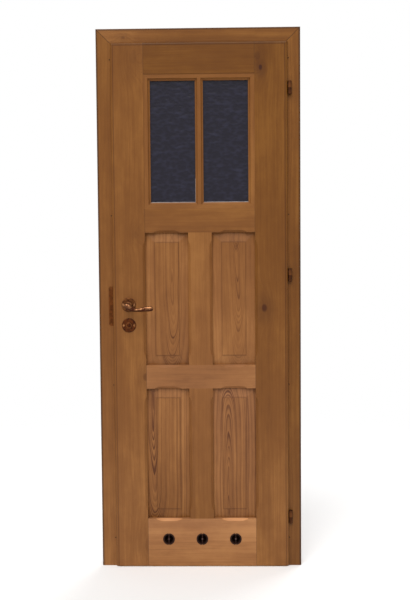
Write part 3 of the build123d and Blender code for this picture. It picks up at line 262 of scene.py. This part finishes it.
class Pine(Tree):
    """Varnished pine with rings, fibres, blotches, knots and joint lines, sawn as the cut says."""

    def __init__(self, name, cut, foot, head):
        super().__init__(name)
        self.cut = cut
        self.x, self.y, self.z = self.coordinates()
        self.along, self.across = (self.z, self.x) if cut.axis == "Z" else (self.x, self.z)
        self.waves = self.sample(WAVES)
        self.fibre = self.sample(FIBRE)
        # the wood's own tone with painted shade, member by member
        self.tone = self.span(self.z, foot, head, *cut.shade, smooth=False)
        if cut.lean[0] != cut.lean[1]:
            self.scale_tone(self.span(self.x, *LEAN_PLACES, *cut.lean))
        self.lay_rings()
        self.colour = self.blend(self.span(self.dark, *TO_MID), rgba(*LIGHT_WOOD), rgba(*MID_WOOD))
        self.tint(self.span(self.dark, *TO_DARK), DARK_WOOD)
        if cut.knots:
            self.tint(self.knot_mask, KNOT)
        self.draw_joints()
        if cut.margin:
            self.shade_margin()
        if cut.field:
            self.light_and_shade_field()
        if cut.sill != 1.0:
            self.paint_sill_highlights()
        self.finish()

    def sample(self, grain):
        """The grain's noise about zero."""
        seed = self.cut.seed
        place = self.vector(
            self.math("MULTIPLY_ADD", self.across, grain.across, seed + grain.shift),
            self.math("MULTIPLY_ADD", self.y, grain.across, seed * SEED_DEEP + grain.shift),
            self.math("MULTIPLY_ADD", self.along, grain.along, seed * SEED_ALONG + grain.shift))
        return self.math("SUBTRACT", self.noise(place, grain.detail, grain.roughness), 0.5)

    def stir(self, value, grain, clamp=False):
        """The value with the grain's noise added."""
        return self.math("MULTIPLY_ADD", self.sample(grain), grain.amount, value, clamp=clamp)

    def beyond(self, value, low, high):
        """How far the value lies outside low..high, or below zero how far inside."""
        return self.math("MAXIMUM", self.math("SUBTRACT", low, value), self.math("SUBTRACT", value, high))

    def tint(self, factor, colour):
        self.colour = self.blend(factor, self.colour, rgba(*colour))

    def scale_tone(self, factor):
        self.tone = self.math("MULTIPLY", self.tone, factor)

    def lay_rings(self):
        """Works out how dark the wood is, from the distance to the log's middle and the fibres."""
        cut = self.cut
        side = self.stir(self.math("SUBTRACT", self.across, cut.pith), SWAY)
        side = self.math("MULTIPLY", side, cut.squeeze)
        run = self.math("SUBTRACT", self.along, cut.middle)
        deep = self.math("MULTIPLY_ADD", self.square(run), cut.bow, self.math("ADD", self.y, cut.depth))
        radius = self.distance(side, self.stir(deep, SAG))
        radius = self.math("MULTIPLY_ADD", self.waves, WAVES.amount, radius)
        radius = self.stir(radius, RIPPLE)
        self.knot_mask = 0.0
        for knot in cut.knots:
            radius = self.grow_knot(radius, *knot)

        phase = self.math("DIVIDE", radius, cut.spacing)
        share = self.math("FRACT", phase)
        rise = self.span(share, RING_START - cut.late_width, RING_PEAK)
        self.late = self.math("MULTIPLY", rise, self.span(share, *RING_FALL))
        years = self.node("ShaderNodeTexNoise", noise_dimensions="1D")
        self.put(years, "W", self.math("MULTIPLY_ADD", phase, YEARS_PER_RING, cut.seed * SEED_YEARS))
        self.put(years, "Scale", 1.0)
        self.put(years, "Detail", 3.0)
        self.put(years, "Roughness", 0.62)
        band = self.span(years.outputs[0], *BAND)

        dark = self.math("MULTIPLY", self.math("MULTIPLY_ADD", band, BAND_SHARE, 1 - BAND_SHARE), self.late)
        dark = self.math("MULTIPLY", dark, self.span(self.math("ABSOLUTE", side), *BESIDE))
        dark = self.math("MULTIPLY_ADD", dark, RING_DARK * cut.figure, PLAIN_DARK)
        dark = self.math("MULTIPLY_ADD", band, BAND_DARK * cut.figure, dark)
        dark = self.math("MULTIPLY_ADD", self.fibre, FIBRE.amount, dark)
        dark = self.stir(dark, CLOUDS)
        dark = self.stir(dark, STREAKS)
        self.dark = self.stir(dark, BLOTCHES, clamp=True)

    def grow_knot(self, radius, knot_along, knot_across, size, darkness):
        """Adds a knot with its halo to the mask, and returns the radius with the rings bent round it."""
        up = self.math("SUBTRACT", self.along, knot_along)
        off = self.math("SUBTRACT", self.across, knot_across)
        long, wide = KNOT_REACH
        reach = self.math("ADD", self.square(self.math("DIVIDE", up, size * long)),
                          self.square(self.math("DIVIDE", off, size * wide)))
        swell = self.math("EXPONENT", self.math("MULTIPLY", reach, -1.0))
        near = self.distance(self.math("DIVIDE", up, size), self.math("DIVIDE", off, size * KNOT_W))
        near = self.math("MULTIPLY_ADD", self.waves, KNOT_RIPPLE, near)
        core = self.math("MULTIPLY", self.span(near, *KNOT_CORE), darkness)
        halo = self.math("MULTIPLY", self.span(near, *KNOT_HALO), darkness * HALO)
        self.knot_mask = self.math("MAXIMUM", self.knot_mask, self.math("MAXIMUM", core, halo))
        return self.math("MULTIPLY_ADD", swell, size * KNOT_SWELL, radius)

    def draw_joints(self):
        """Dark lines at the shoulders and the mitres, and painted shade along the outer edge of a mitred
        board.
        """
        cut = self.cut
        for place in cut.shoulders:
            gap = self.math("ABSOLUTE", self.math("SUBTRACT", self.along, place))
            self.tint(self.span(gap, *SHOULDER_LINE), GRIME_AND_SHADE)
        if cut.mitred:
            out = self.math("SUBTRACT", self.math("ABSOLUTE", self.x), FRAME_HALF_W)
            up = self.math("SUBTRACT", self.z, FRAME_TOP)
            gap = self.math("ABSOLUTE", self.math("SUBTRACT", out, up))
            self.tint(self.span(gap, *MITRE_LINE), GRIME_AND_SHADE)
            # painted shade along the board's rounded outer edge
            edge = self.math("MAXIMUM", out, up)
            self.tint(self.span(edge, *OUTER_EDGE_SHADE), GRIME_AND_SHADE)

    def shade_margin(self):
        """Painted shade: a dark line round the leaf's sunk edge on its front, and a darker rounding outside
        it.
        """
        left, right, top = self.cut.margin
        above = self.math("SUBTRACT", self.z, top)
        beside = self.beyond(self.x, left, right)
        outside = self.math("MAXIMUM", beside, above)
        front = self.span(self.y, *LEAF_FRONT)
        line = self.span(self.math("ABSOLUTE", outside), *MARGIN_SHADE_LINE)
        # painted shade in the quirk round the sunk edge
        self.tint(self.math("MULTIPLY", line, front), DARK_WOOD)
        top_shade = self.span(above, *MARGIN_TOP_SHADE)
        round_shade = self.math("MULTIPLY", self.span(outside, *MARGIN_ROUND_SHADE), top_shade)
        round_shade = self.math("MULTIPLY", round_shade, front)
        # painted shade on the rounding
        self.scale_tone(self.math("SUBTRACT", 1.0, round_shade))

    def light_and_shade_field(self):
        """Painted shade in a line round a panel's raised field, and painted light on the slope outside it."""
        left, right, bottom, top = self.cut.field
        outside = self.math("MAXIMUM", self.beyond(self.x, left, right), self.beyond(self.z, bottom, top))
        near = self.math("ABSOLUTE", self.math("SUBTRACT", outside, FIELD_SHADE_LINE_OUT))
        # painted shade at the field's step
        self.tint(self.span(near, *FIELD_SHADE_LINE), DARK_WOOD)
        # painted light on the slope
        self.scale_tone(self.span(outside, *FIELD_SLOPE_LIGHT))

    def paint_sill_highlights(self):
        """Painted highlight: a gain on the chamfers that face up and out, but not on level faces."""
        up = self.facing_up()
        gain = self.math("MULTIPLY", self.span(up, *SILL_UP, 0.0, self.cut.sill - 1.0),
                         self.span(up, *SILL_LEVEL))
        self.scale_tone(self.math("ADD", gain, 1.0))

    def finish(self):
        """Tones the colour, paints shade into the crevices and lays on the varnish."""
        toned = self.node("ShaderNodeHueSaturation")
        vivid = self.math("MULTIPLY", self.span(self.tone, *TONE_SATURATION, smooth=False),
                          self.span(self.z, *HEIGHT_SATURATION, smooth=False))
        self.put(toned, "Value", self.tone)
        self.put(toned, "Saturation", vivid)
        self.put(toned, "Color", self.colour)
        self.colour = toned.outputs[0]
        # painted shade where the surface is closed in
        self.tint(self.span(self.openness(CREVICE), *CREVICE_SHADE), GRIME_AND_SHADE)
        self.set(Base_Color=self.colour, Roughness=self.span(self.fibre, *VARNISH_ROUGHNESS), IOR=1.45,
                 Specular_IOR_Level=0.22, Coat_Weight=0.05, Coat_Roughness=0.25)
        fibres = self.math("MULTIPLY", self.fibre, FIBRE_RELIEF)
        height = self.math("MULTIPLY_ADD", self.late, LATE_RELIEF, fibres)
        self.bump(height, GRAIN_RELIEF, 0.55)


METALLIC = 0.85
PATINA_SCALE, SPECK_SCALE = 95.0, 700.0
RUB_SCALES = (60.0, 60.0, 900.0)  # rubbing marks run level
RUB_SHARE = 0.35  # depth of the rubbing marks in the relief
PATINA = (0.38, 0.66)
SPECKS = (0.56, 0.74)
HIGH_SPOTS = (0.52, 0.60)
METAL_CREVICE = 0.006
METAL_STAIN = (0.8, 0.3, 0.0, 0.75)
# painted shade on faces that turn down
UNDERSIDE_SHADE = (0.10, -0.55)
METAL_GAIN = 0.18  # how much rougher the patina is than the bare metal
METAL_RELIEF = 0.0002


def worn_metal(name, base, dark, bright, roughness, patina, dents, edge, downward_shade=0.0):
    """Metal with uneven patina, fine rubbing marks, bare high spots, and painted shade on the faces that turn
    down, in place of a dark reflection.
    """
    t = Tree(name)
    place = t.vector(*t.coordinates())
    spot = t.noise(place, detail=4.0, roughness=0.62, scale=PATINA_SCALE)
    fine = t.noise(place, detail=3.0, roughness=0.6, scale=SPECK_SCALE)
    rubbed = t.noise(t.stretched(*RUB_SCALES))
    point = t.node("ShaderNodeNewGeometry").outputs["Pointiness"]
    colour = t.blend(t.span(spot, *PATINA), rgba(*base), rgba(*dark))
    colour = t.blend(t.span(fine, *SPECKS, 0.0, patina), colour, rgba(*dark))
    colour = t.blend(t.span(point, *HIGH_SPOTS, 0.0, edge), colour, rgba(*bright))
    colour = t.blend(t.span(t.openness(METAL_CREVICE), *METAL_STAIN), colour, rgba(*dark))
    # painted shade on faces that turn down, in place of a dark reflection
    colour = t.blend(t.span(t.facing_up(), *UNDERSIDE_SHADE, 0.0, downward_shade), colour, rgba(*dark))
    t.set(Base_Color=colour, Metallic=METALLIC,
          Roughness=t.span(spot, 0.3, 0.7, roughness, roughness + METAL_GAIN))
    marks = t.math("ADD", t.math("MULTIPLY", rubbed, RUB_SHARE), t.math("MULTIPLY", spot, dents))
    t.bump(marks, METAL_RELIEF, 0.6)
    return t.material


PEEL_SCALE, CLOUD_SCALE, BLOOM_SCALE = 900.0, 60.0, 120.0
CLOUDED = (0.35, 0.7)
PLASTIC_GAIN = 0.12  # how much rougher the clouds are
PEEL_RELIEF = 0.00012
BLOOM_RELIEF = 0.0001
RUBBER, RUBBER_BLOOM = (74, 50, 36), (58, 38, 27)


def moulded(name, base, shade, roughness, specular=0.4):
    """Moulded plastic or foam with a faint orange-peel surface and clouded colour."""
    t = Tree(name)
    place = t.vector(*t.coordinates())
    peel = t.noise(place, scale=PEEL_SCALE)
    cloud = t.noise(place, detail=3.0, roughness=0.6, scale=CLOUD_SCALE)
    colour = t.blend(t.span(cloud, *CLOUDED), rgba(*base), rgba(*shade))
    t.set(Base_Color=colour, Specular_IOR_Level=specular,
          Roughness=t.span(cloud, 0.3, 0.7, roughness, roughness + PLASTIC_GAIN))
    t.bump(peel, PEEL_RELIEF, 0.5)
    return t.material


def rubber(name):
    """Matt extruded rubber with a faint bloom."""
    t = Tree(name)
    bloom = t.noise(t.vector(*t.coordinates()), detail=3.0, roughness=0.6, scale=BLOOM_SCALE)
    colour = t.blend(t.span(bloom, *CLOUDED), rgba(*RUBBER), rgba(*RUBBER_BLOOM))
    t.set(Base_Color=colour, Roughness=0.72, Specular_IOR_Level=0.25)
    t.bump(bloom, BLOOM_RELIEF, 0.4)
    return t.material


GLASS, GLASS_MARK, GLASS_SHEEN = (27, 24, 36), (36, 34, 49), (50, 50, 68)
CELLS_X, CELLS_Z = 55.0, 95.0  # ripples per metre across and up
WARP_SCALE, WARP_X, WARP_Z = 30.0, 0.012, 0.010
SWELL_SCALES = (22.0, 0.0, 60.0)
GRIT_SCALE, GRIT_SHARE = 380.0, 0.12
CELL_SHARE, SWELL_SHARE = 0.9, 1.1  # parts of the cells and the swell in the relief
MARKED = (0.75, 1.35)
SHEEN = (0.56, 0.74, 0.0, 0.4)
RIPPLE_RELIEF = 0.0016


def rippled_glass(name):
    """Dark rippled glass: shallow cells pressed into a smoky blue pane."""
    t = Tree(name)
    x, _, z = t.coordinates()
    flat = t.vector(x, 0.0, z)
    warp = t.noise(flat, scale=WARP_SCALE)
    across = t.math("MULTIPLY", t.math("MULTIPLY_ADD", warp, WARP_X, x), CELLS_X)
    upright = t.math("MULTIPLY", t.math("MULTIPLY_ADD", warp, WARP_Z, z), CELLS_Z)
    cell = t.node("ShaderNodeTexVoronoi", feature="SMOOTH_F1", voronoi_dimensions="2D")
    t.put(cell, "Vector", t.vector(across, upright, 0.0))
    t.put(cell, "Scale", 1.0)
    t.put(cell, "Smoothness", 0.8)
    swell = t.noise(t.stretched(*SWELL_SCALES), roughness=0.55)
    grit = t.noise(flat, scale=GRIT_SCALE)
    height = t.math("MULTIPLY", swell, SWELL_SHARE)
    height = t.math("MULTIPLY_ADD", cell.outputs["Distance"], CELL_SHARE, height)
    height = t.math("MULTIPLY_ADD", grit, GRIT_SHARE, height)
    colour = t.blend(t.span(height, *MARKED), rgba(*GLASS), rgba(*GLASS_MARK))
    colour = t.blend(t.span(swell, *SHEEN), colour, rgba(*GLASS_SHEEN))
    t.set(Base_Color=colour, Roughness=0.26, IOR=1.5, Specular_IOR_Level=0.22, Transmission_Weight=0.06)
    t.bump(height, RIPPLE_RELIEF, 0.45)
    return t.material


def dress(material, *names):
    for name in names:
        slots = nodes[name].material_slots
        if not slots:
            nodes[name].data.materials.append(material)
        for slot in nodes[name].material_slots:
            slot.material = material


MARGIN_W = 0.010  # width of the leaf's sunk edge
FIELD_INSET = 0.0466  # from a panel's edge to its raised field
lock_stile, hinge_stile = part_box("lock_stile"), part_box("hinge_stile")
stile_edges = (lock_stile[1].x, hinge_stile[0].x)  # inner edges of the two stiles
margin = (lock_stile[0].x + MARGIN_W, hinge_stile[1].x - MARGIN_W, hinge_stile[1].z - MARGIN_W)

CUTS = {
    "lock_jamb": Cut("Z", seed=1.7, pith=-0.50, depth=0.06, shade=(1.0, 0.9)),
    "hinge_jamb": Cut("Z", seed=4.1, pith=0.52, depth=0.05, shade=(0.9, 0.85)),
    "head_jamb": Cut("X", seed=6.4, pith=2.20, depth=0.06, shade=(0.9, 0.9)),
    "lock_face_board": Cut("Z", seed=2.9, pith=-0.47, depth=0.03, shade=(0.885, 0.835), spacing=0.0026,
                           mitred=True),
    "hinge_face_board": Cut("Z", seed=7.7, pith=0.455, depth=0.035, shade=(0.59, 0.80), spacing=0.0028,
                            mitred=True),
    "head_face_board": Cut("X", seed=5.9, pith=2.13, depth=0.05, shade=(0.78, 0.86), lean=(1.22, 1.0),
                           knots=((-0.281, 2.022, 0.010, 0.5),), mitred=True),
    "lock_stile": Cut("Z", seed=3.3, pith=-0.42, depth=0.07, shade=(0.89, 0.85), figure=0.26, margin=margin,
                      knots=((0.738, -0.209, 0.019, 0.62), (1.280, -0.240, 0.016, 0.22),
                             (1.945, -0.244, 0.028, 0.22), (0.085, -0.206, 0.026, 0.25))),
    "hinge_stile": Cut("Z", seed=8.6, pith=0.43, depth=0.05, shade=(0.82, 0.66), figure=0.30, margin=margin,
                       knots=((1.903, 0.235, 0.014, 1.0), (1.945, 0.224, 0.024, 0.45),
                              (1.000, 0.244, 0.022, 0.9))),
    "top_rail": Cut("X", seed=9.2, pith=2.15, depth=0.05, shade=(0.66, 0.66), figure=0.26, margin=margin,
                    shoulders=stile_edges),
    "window_rail": Cut("X", seed=10.5, pith=1.52, depth=0.05, shade=(0.92, 0.88), figure=0.24,
                       shoulders=stile_edges),
    "middle_rail": Cut("X", seed=11.8, pith=0.93, depth=0.06, shade=(1.21, 1.21), figure=0.24,
                       shoulders=stile_edges),
    "bottom_rail": Cut("X", seed=12.4, pith=-0.05, depth=0.05, shade=(1.03, 1.28), figure=0.28,
                       shoulders=stile_edges, sill=1.5),
    "upper_muntin": Cut("Z", seed=13.6, pith=0.12, depth=0.06, shade=(1.00, 0.96), figure=0.24),
    "lower_muntin": Cut("Z", seed=14.3, pith=-0.10, depth=0.05, shade=(0.76, 0.99), figure=0.36),
    "upper_left_panel": Cut("Z", seed=15.2, pith=-0.104, depth=0.016, shade=(1.06, 1.02), bow=0.24,
                            middle=1.26, squeeze=1.5, spacing=0.0050, figure=0.54),
    "upper_right_panel": Cut("Z", seed=16.9, pith=0.145, depth=0.016, shade=(1.06, 1.02), bow=0.24,
                             middle=1.28, squeeze=1.6, spacing=0.0050, figure=0.46,
                             knots=((1.235, 0.141, 0.006, 0.5),)),
    "lower_left_panel": Cut("Z", seed=17.1, pith=-0.180, depth=0.010, shade=(0.82, 1.08), bow=0.18,
                            middle=0.78, squeeze=1.8, spacing=0.0062, figure=1.2, late_width=0.75),
    "lower_right_panel": Cut("Z", seed=18.8, pith=0.101, depth=0.010, shade=(0.93, 1.24), bow=0.16,
                             middle=0.08, squeeze=1.9, spacing=0.0062, figure=0.95, late_width=0.75),
}
for member, cut in CUTS.items():
    low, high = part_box(member)
    if member.endswith("panel"):
        cut.field = (low.x + FIELD_INSET, high.x - FIELD_INSET, low.z + FIELD_INSET, high.z - FIELD_INSET)
    dress(Pine(f"pine_{member}", cut, low.z, high.z).material, member)

BEAD_FOOT, BEAD_HEAD = 0.0, 2.05  # heights between which the beads' tone falls off
BEAD_CUTS = {
    "upright": Cut("Z", seed=19.5, pith=0.35, depth=0.05, shade=(1.0, 0.92), spacing=0.0030, figure=0.3),
    "level": Cut("X", seed=20.7, pith=1.75, depth=0.05, shade=(1.0, 0.92), spacing=0.0030, figure=0.3),
}
beads = {way: Pine(f"pine_{way}_beads", cut, BEAD_FOOT, BEAD_HEAD).material for way, cut in BEAD_CUTS.items()}
for face in ("front", "rear"):
    dress(beads["upright"], f"{face}_bead_left", f"{face}_bead_right", f"{face}_glazing_bar")
    dress(beads["level"], f"{face}_bead_top", f"{face}_bead_bottom")

brass = worn_metal("antique_brass_patina_and_shade", (140, 96, 62), (60, 23, 5), (196, 146, 104),
                   roughness=0.26, patina=0.4, dents=0.4, edge=0.7, downward_shade=0.95)
rose_brass = worn_metal("rose_brass_patina_and_shade", (112, 68, 30), (60, 24, 5), (190, 138, 92),
                        roughness=0.30, patina=0.5, dents=0.4, edge=0.8, downward_shade=0.9)
dark_brass = worn_metal("dark_brass_patina_and_shade", (92, 44, 10), (52, 20, 4), (170, 112, 60),
                        roughness=0.34, patina=0.6, dents=0.5, edge=0.6, downward_shade=0.5)
hinge_brass = worn_metal("hinge_brass_patina", (62, 28, 7), (36, 13, 2), (128, 78, 38),
                         roughness=0.42, patina=0.6, dents=0.5, edge=0.5)
bronze = worn_metal("bronzed_plate", (92, 45, 8), (68, 30, 4), (150, 94, 46),
                    roughness=0.55, patina=0.5, dents=0.3, edge=0.3)
screw_brass = worn_metal("bright_brass_screws", (186, 132, 88), (110, 66, 32), (240, 196, 150),
                         roughness=0.3, patina=0.4, dents=0.2, edge=0.4)
steel = worn_metal("zinc_plated_steel", (176, 172, 162), (122, 118, 108), (216, 216, 212),
                   roughness=0.30, patina=0.4, dents=0.2, edge=0.2)
rivet_steel = worn_metal("dull_rivet_steel", (120, 100, 94), (74, 56, 50), (170, 156, 150),
                         roughness=0.4, patina=0.5, dents=0.3, edge=0.3)
nail_steel = worn_metal("rusted_nail_heads", (70, 40, 24), (46, 25, 15), (110, 72, 46),
                        roughness=0.55, patina=0.5, dents=0.5, edge=0.2)
plastic = moulded("vent_plastic", (38, 14, 5), (28, 9, 3), roughness=0.55, specular=0.18)
# near-black foam that stands in for the shade deep inside the vents
foam = moulded("vent_filter_foam", (26, 11, 5), (14, 5, 2), roughness=0.9, specular=0.05)
# pale strips that stand in for the line of light along the panes' foot and side
pale_glint = moulded("pane_pale_glint", (168, 160, 158), (140, 132, 132), roughness=0.5)

SIDES = ("left", "middle", "right")
dress(brass, "front_lever", "rear_lever")
dress(rose_brass, "front_lever_rose", "rear_lever_rose")
dress(dark_brass, "front_privacy_rose", "rear_privacy_rose", "release_disc", "thumb_turn")
for place in ("top", "middle", "bottom"):
    dress(hinge_brass, f"{place}_hinge_frame_half", f"{place}_hinge_leaf_half")
dress(bronze, "strike_plate", "strike_screws")
dress(screw_brass, "rose_screws")
dress(steel, "lock_case", "forend_screws", "lever_follower", "bolt_follower", "latch_bolt", "dead_bolt",
      "corner_screws")
dress(nail_steel, "face_board_nails")
dress(plastic, *[f"{side}_vent_sleeve" for side in SIDES], "rear_vent_sleeves")
dress(rubber("seal_rubber"), "frame_seal")
dress(rippled_glass("dark_rippled_glass"), "left_pane", "right_pane")


def piece(name, vertices, faces, material, body):
    mesh = bpy.data.meshes.new(name)
    mesh.from_pydata(vertices, [], faces)
    for polygon in mesh.polygons:
        polygon.use_smooth = True
    made = bpy.data.objects.new(name, mesh)
    scene.collection.objects.link(made)
    made.data.materials.append(material)
    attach(made, body)


def turned(name, profile, centre, material, body, sides=40, wobble=0.0):
    """Piece turned about a line along Y. Its profile is (radius, depth) points, with a pole at each end."""
    cx, cz = centre
    draw = random.Random(name)
    vertices = [(cx, profile[0][1], cz)]
    for radius, depth in profile[1:-1]:
        for step in range(sides):
            angle = 2 * math.pi * step / sides
            vertices.append((cx + radius * math.cos(angle), depth + wobble * (draw.random() - 0.5),
                             cz + radius * math.sin(angle)))
    vertices.append((cx, profile[-1][1], cz))
    rings = len(profile) - 2
    last = len(vertices) - 1
    faces = []
    for step in range(sides):
        after = (step + 1) % sides
        faces.append((0, 1 + after, 1 + step))
        for ring in range(rings - 1):
            low, high = 1 + ring * sides, 1 + (ring + 1) * sides
            faces.append((low + step, low + after, high + after, high + step))
        top = 1 + (rings - 1) * sides
        faces.append((top + step, top + after, last))
    piece(name, vertices, faces, material, body)


VENT_BORE_R = 0.01575  # just inside the bore of the rear sleeves
# a near-black foam disc in each vent bore, painted shade for the dark depth of the vent
FILTER_FRONT, FILTER_BACK = 0.0022, 0.0085  # places of the foam's two faces in y
FILTER_RINGS = 9
FILTER_WOBBLE = 0.0007  # unevenness of the foam
RIVET_R, RIVET_H = 0.0019, 0.0009
RIVET_ANGLES = (0.35, 0.7, 1.05, 1.35, 1.57)
RIVET_SINK = 0.0002  # how far the rivet is let into the hub
RIVET_SIDES = 28
hub_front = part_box("bottom_rail")[0].y  # the hubs end flush with the rail
pad_radii = [VENT_BORE_R * k / FILTER_RINGS for k in range(1, FILTER_RINGS + 1)]
pad = [(0.0, FILTER_FRONT), *[(radius, FILTER_FRONT) for radius in pad_radii],
       *[(radius, FILTER_BACK) for radius in reversed(pad_radii)], (0.0, FILTER_BACK)]
dome = [(0.0, hub_front - RIVET_H),
        *[(RIVET_R * math.sin(angle), hub_front - RIVET_H * math.cos(angle)) for angle in RIVET_ANGLES],
        (RIVET_R, hub_front + RIVET_SINK), (0.0, hub_front + RIVET_SINK)]
for side in SIDES:
    low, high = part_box(f"{side}_vent_sleeve")
    centre = ((low.x + high.x) / 2, (low.z + high.z) / 2)
    turned(f"{side}_vent_filter", pad, centre, foam, "leaf", wobble=FILTER_WOBBLE)
    turned(f"{side}_vent_rivet", dome, centre, rivet_steel, "leaf", sides=RIVET_SIDES)


# painted highlight: pale strips along the pane's foot and side, shaped as a bead
GLINT_UP, GLINT_SIDE, GLINT_OUT = 0.0022, 0.0014, 0.0024
GLINT_CLIMB = 0.09  # height of the line up the side of the pane
GLINT_STEPS, GLINT_ARC = 48, 5
GLINT_UNEVEN = 0.25  # spread of its size


def pale_glint_strip(name, start, end, lift):
    """Painted highlight: a thin uneven pale strip between a pane and a moulding, in place of a line of light
    along the pane's edge. The lift is its rise beside the pane.
    """
    draw = random.Random(name)
    out = Vector((0, -GLINT_OUT, 0))
    vertices, faces = [], []
    for step in range(GLINT_STEPS + 1):
        place = start.lerp(end, step / GLINT_STEPS)
        size = 1.0 + GLINT_UNEVEN * (draw.random() - 0.5)
        vertices.append(place)
        for k in range(GLINT_ARC + 1):
            angle = math.pi / 2 * k / GLINT_ARC
            vertices.append(place + size * (lift * math.cos(angle) + out * math.sin(angle)))
    ring = GLINT_ARC + 2
    for step in range(GLINT_STEPS):
        low, high = step * ring, (step + 1) * ring
        for k in range(ring):
            after = (k + 1) % ring
            faces.append((low + k, high + k, high + after, low + after))
    faces.append(tuple(range(ring)))
    faces.append(tuple(range(GLINT_STEPS * ring, (GLINT_STEPS + 1) * ring))[::-1])
    piece(name, [tuple(vertex) for vertex in vertices], faces, pale_glint, "leaf")


glass_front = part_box("left_pane")[0].y
sill_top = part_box("front_bead_bottom")[1].z
bar_low, bar_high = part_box("front_glazing_bar")
upward = Vector((0, 0, GLINT_UP))
left_corner = Vector((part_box("front_bead_left")[1].x, glass_front, sill_top))
bar_left = Vector((bar_low.x, glass_front, sill_top))
bar_right = Vector((bar_high.x, glass_front, sill_top))
right_corner = Vector((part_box("front_bead_right")[0].x, glass_front, sill_top))
climb = Vector((0, 0, GLINT_CLIMB))
pale_glint_strip("left_pane_sill_sealant", left_corner, bar_left, upward)
pale_glint_strip("right_pane_sill_sealant", bar_right, right_corner, upward)
pale_glint_strip("left_pane_side_sealant", bar_left, bar_left + climb, Vector((-GLINT_SIDE, 0, 0)))

FLOOR_HALF = 6
PAPER = (0.94, 0.94, 0.94, 1.0)
FLOOR_FADE = (3.2, 1.2)  # where the floor is gone, and where it is whole
floor_mesh = bpy.data.meshes.new("floor")
corners = [(-FLOOR_HALF, -FLOOR_HALF, 0), (FLOOR_HALF, -FLOOR_HALF, 0),
           (FLOOR_HALF, FLOOR_HALF, 0), (-FLOOR_HALF, FLOOR_HALF, 0)]
floor_mesh.from_pydata(corners, [], [(0, 1, 2, 3)])
floor = bpy.data.objects.new("floor", floor_mesh)
scene.collection.objects.link(floor)
paper = Tree("white_paper")
fx, fy, _ = paper.coordinates()
spread = paper.distance(fx, fy)
paper.set(Base_Color=PAPER, Roughness=0.9, Specular_IOR_Level=0.0,
          Alpha=paper.span(spread, *FLOOR_FADE))
floor_mesh.materials.append(paper.material)

WORLD_LIGHT = 0.5  # strength of the light that the world throws on the door
WORLD_SEEN = 1.0  # strength of the white that the camera, metal and glass see
world = bpy.data.worlds.new("studio")
scene.world = world
world.use_nodes = True
sky = world.node_tree
sky.nodes.clear()
path = sky.nodes.new("ShaderNodeLightPath")
seen = path.outputs["Is Camera Ray"]
for ray in ("Is Glossy Ray", "Is Transmission Ray"):
    either = sky.nodes.new("ShaderNodeMath")
    either.operation = "MAXIMUM"
    sky.links.new(seen, either.inputs[0])
    sky.links.new(path.outputs[ray], either.inputs[1])
    seen = either.outputs[0]
strength = sky.nodes.new("ShaderNodeMapRange")
strength.inputs["To Min"].default_value = WORLD_LIGHT
strength.inputs["To Max"].default_value = WORLD_SEEN
sky.links.new(seen, strength.inputs["Value"])
background = sky.nodes.new("ShaderNodeBackground")
background.inputs["Color"].default_value = (1.0, 1.0, 1.0, 1.0)
sky.links.new(strength.outputs[0], background.inputs["Strength"])
sky.links.new(background.outputs[0], sky.nodes.new("ShaderNodeOutputWorld").inputs[0])


def sun(name, source, energy, softness, colour=(1.0, 1.0, 1.0)):
    """Soft light from the direction of source, as far away as the sun, so that it falls evenly."""
    data = bpy.data.lights.new(name, "SUN")
    data.energy = energy
    data.angle = math.radians(softness)
    data.color = colour
    light = bpy.data.objects.new(name, data)
    light.rotation_mode = "QUATERNION"
    light.rotation_quaternion = (-Vector(source)).to_track_quat("-Z", "Y")
    light.location = source
    scene.collection.objects.link(light)


sun("key", (-0.45, -2.7, 3.1), energy=2.3, softness=50, colour=(1.0, 0.985, 0.965))
sun("rear_fill", (1.4, 3.0, 2.6), energy=1.2, softness=40)

FOCAL_PIXELS, LONG_SIDE = 958.3, 600  # focal length and longer side of the photo, in pixels
SENSOR = 36.0
CAMERA_PLACE = (0.0989, -3.655, 1.2471)
PAN, TILT, ROLL = 0.02158, -0.05917, 0.00798  # in radians
camera_data = bpy.data.cameras.new("camera")
camera_data.sensor_width = SENSOR
camera_data.lens = FOCAL_PIXELS / LONG_SIDE * SENSOR
camera = bpy.data.objects.new("camera", camera_data)
scene.collection.objects.link(camera)
turn = (Matrix.Rotation(PAN, 3, "Z") @ Matrix.Rotation(TILT, 3, "X") @ Matrix.Rotation(ROLL, 3, "Y")
        @ Matrix.Rotation(math.pi / 2, 3, "X"))
camera.matrix_world = Matrix.Translation(CAMERA_PLACE) @ turn.to_4x4()
scene.camera = camera
scene.view_settings.view_transform = "Standard"
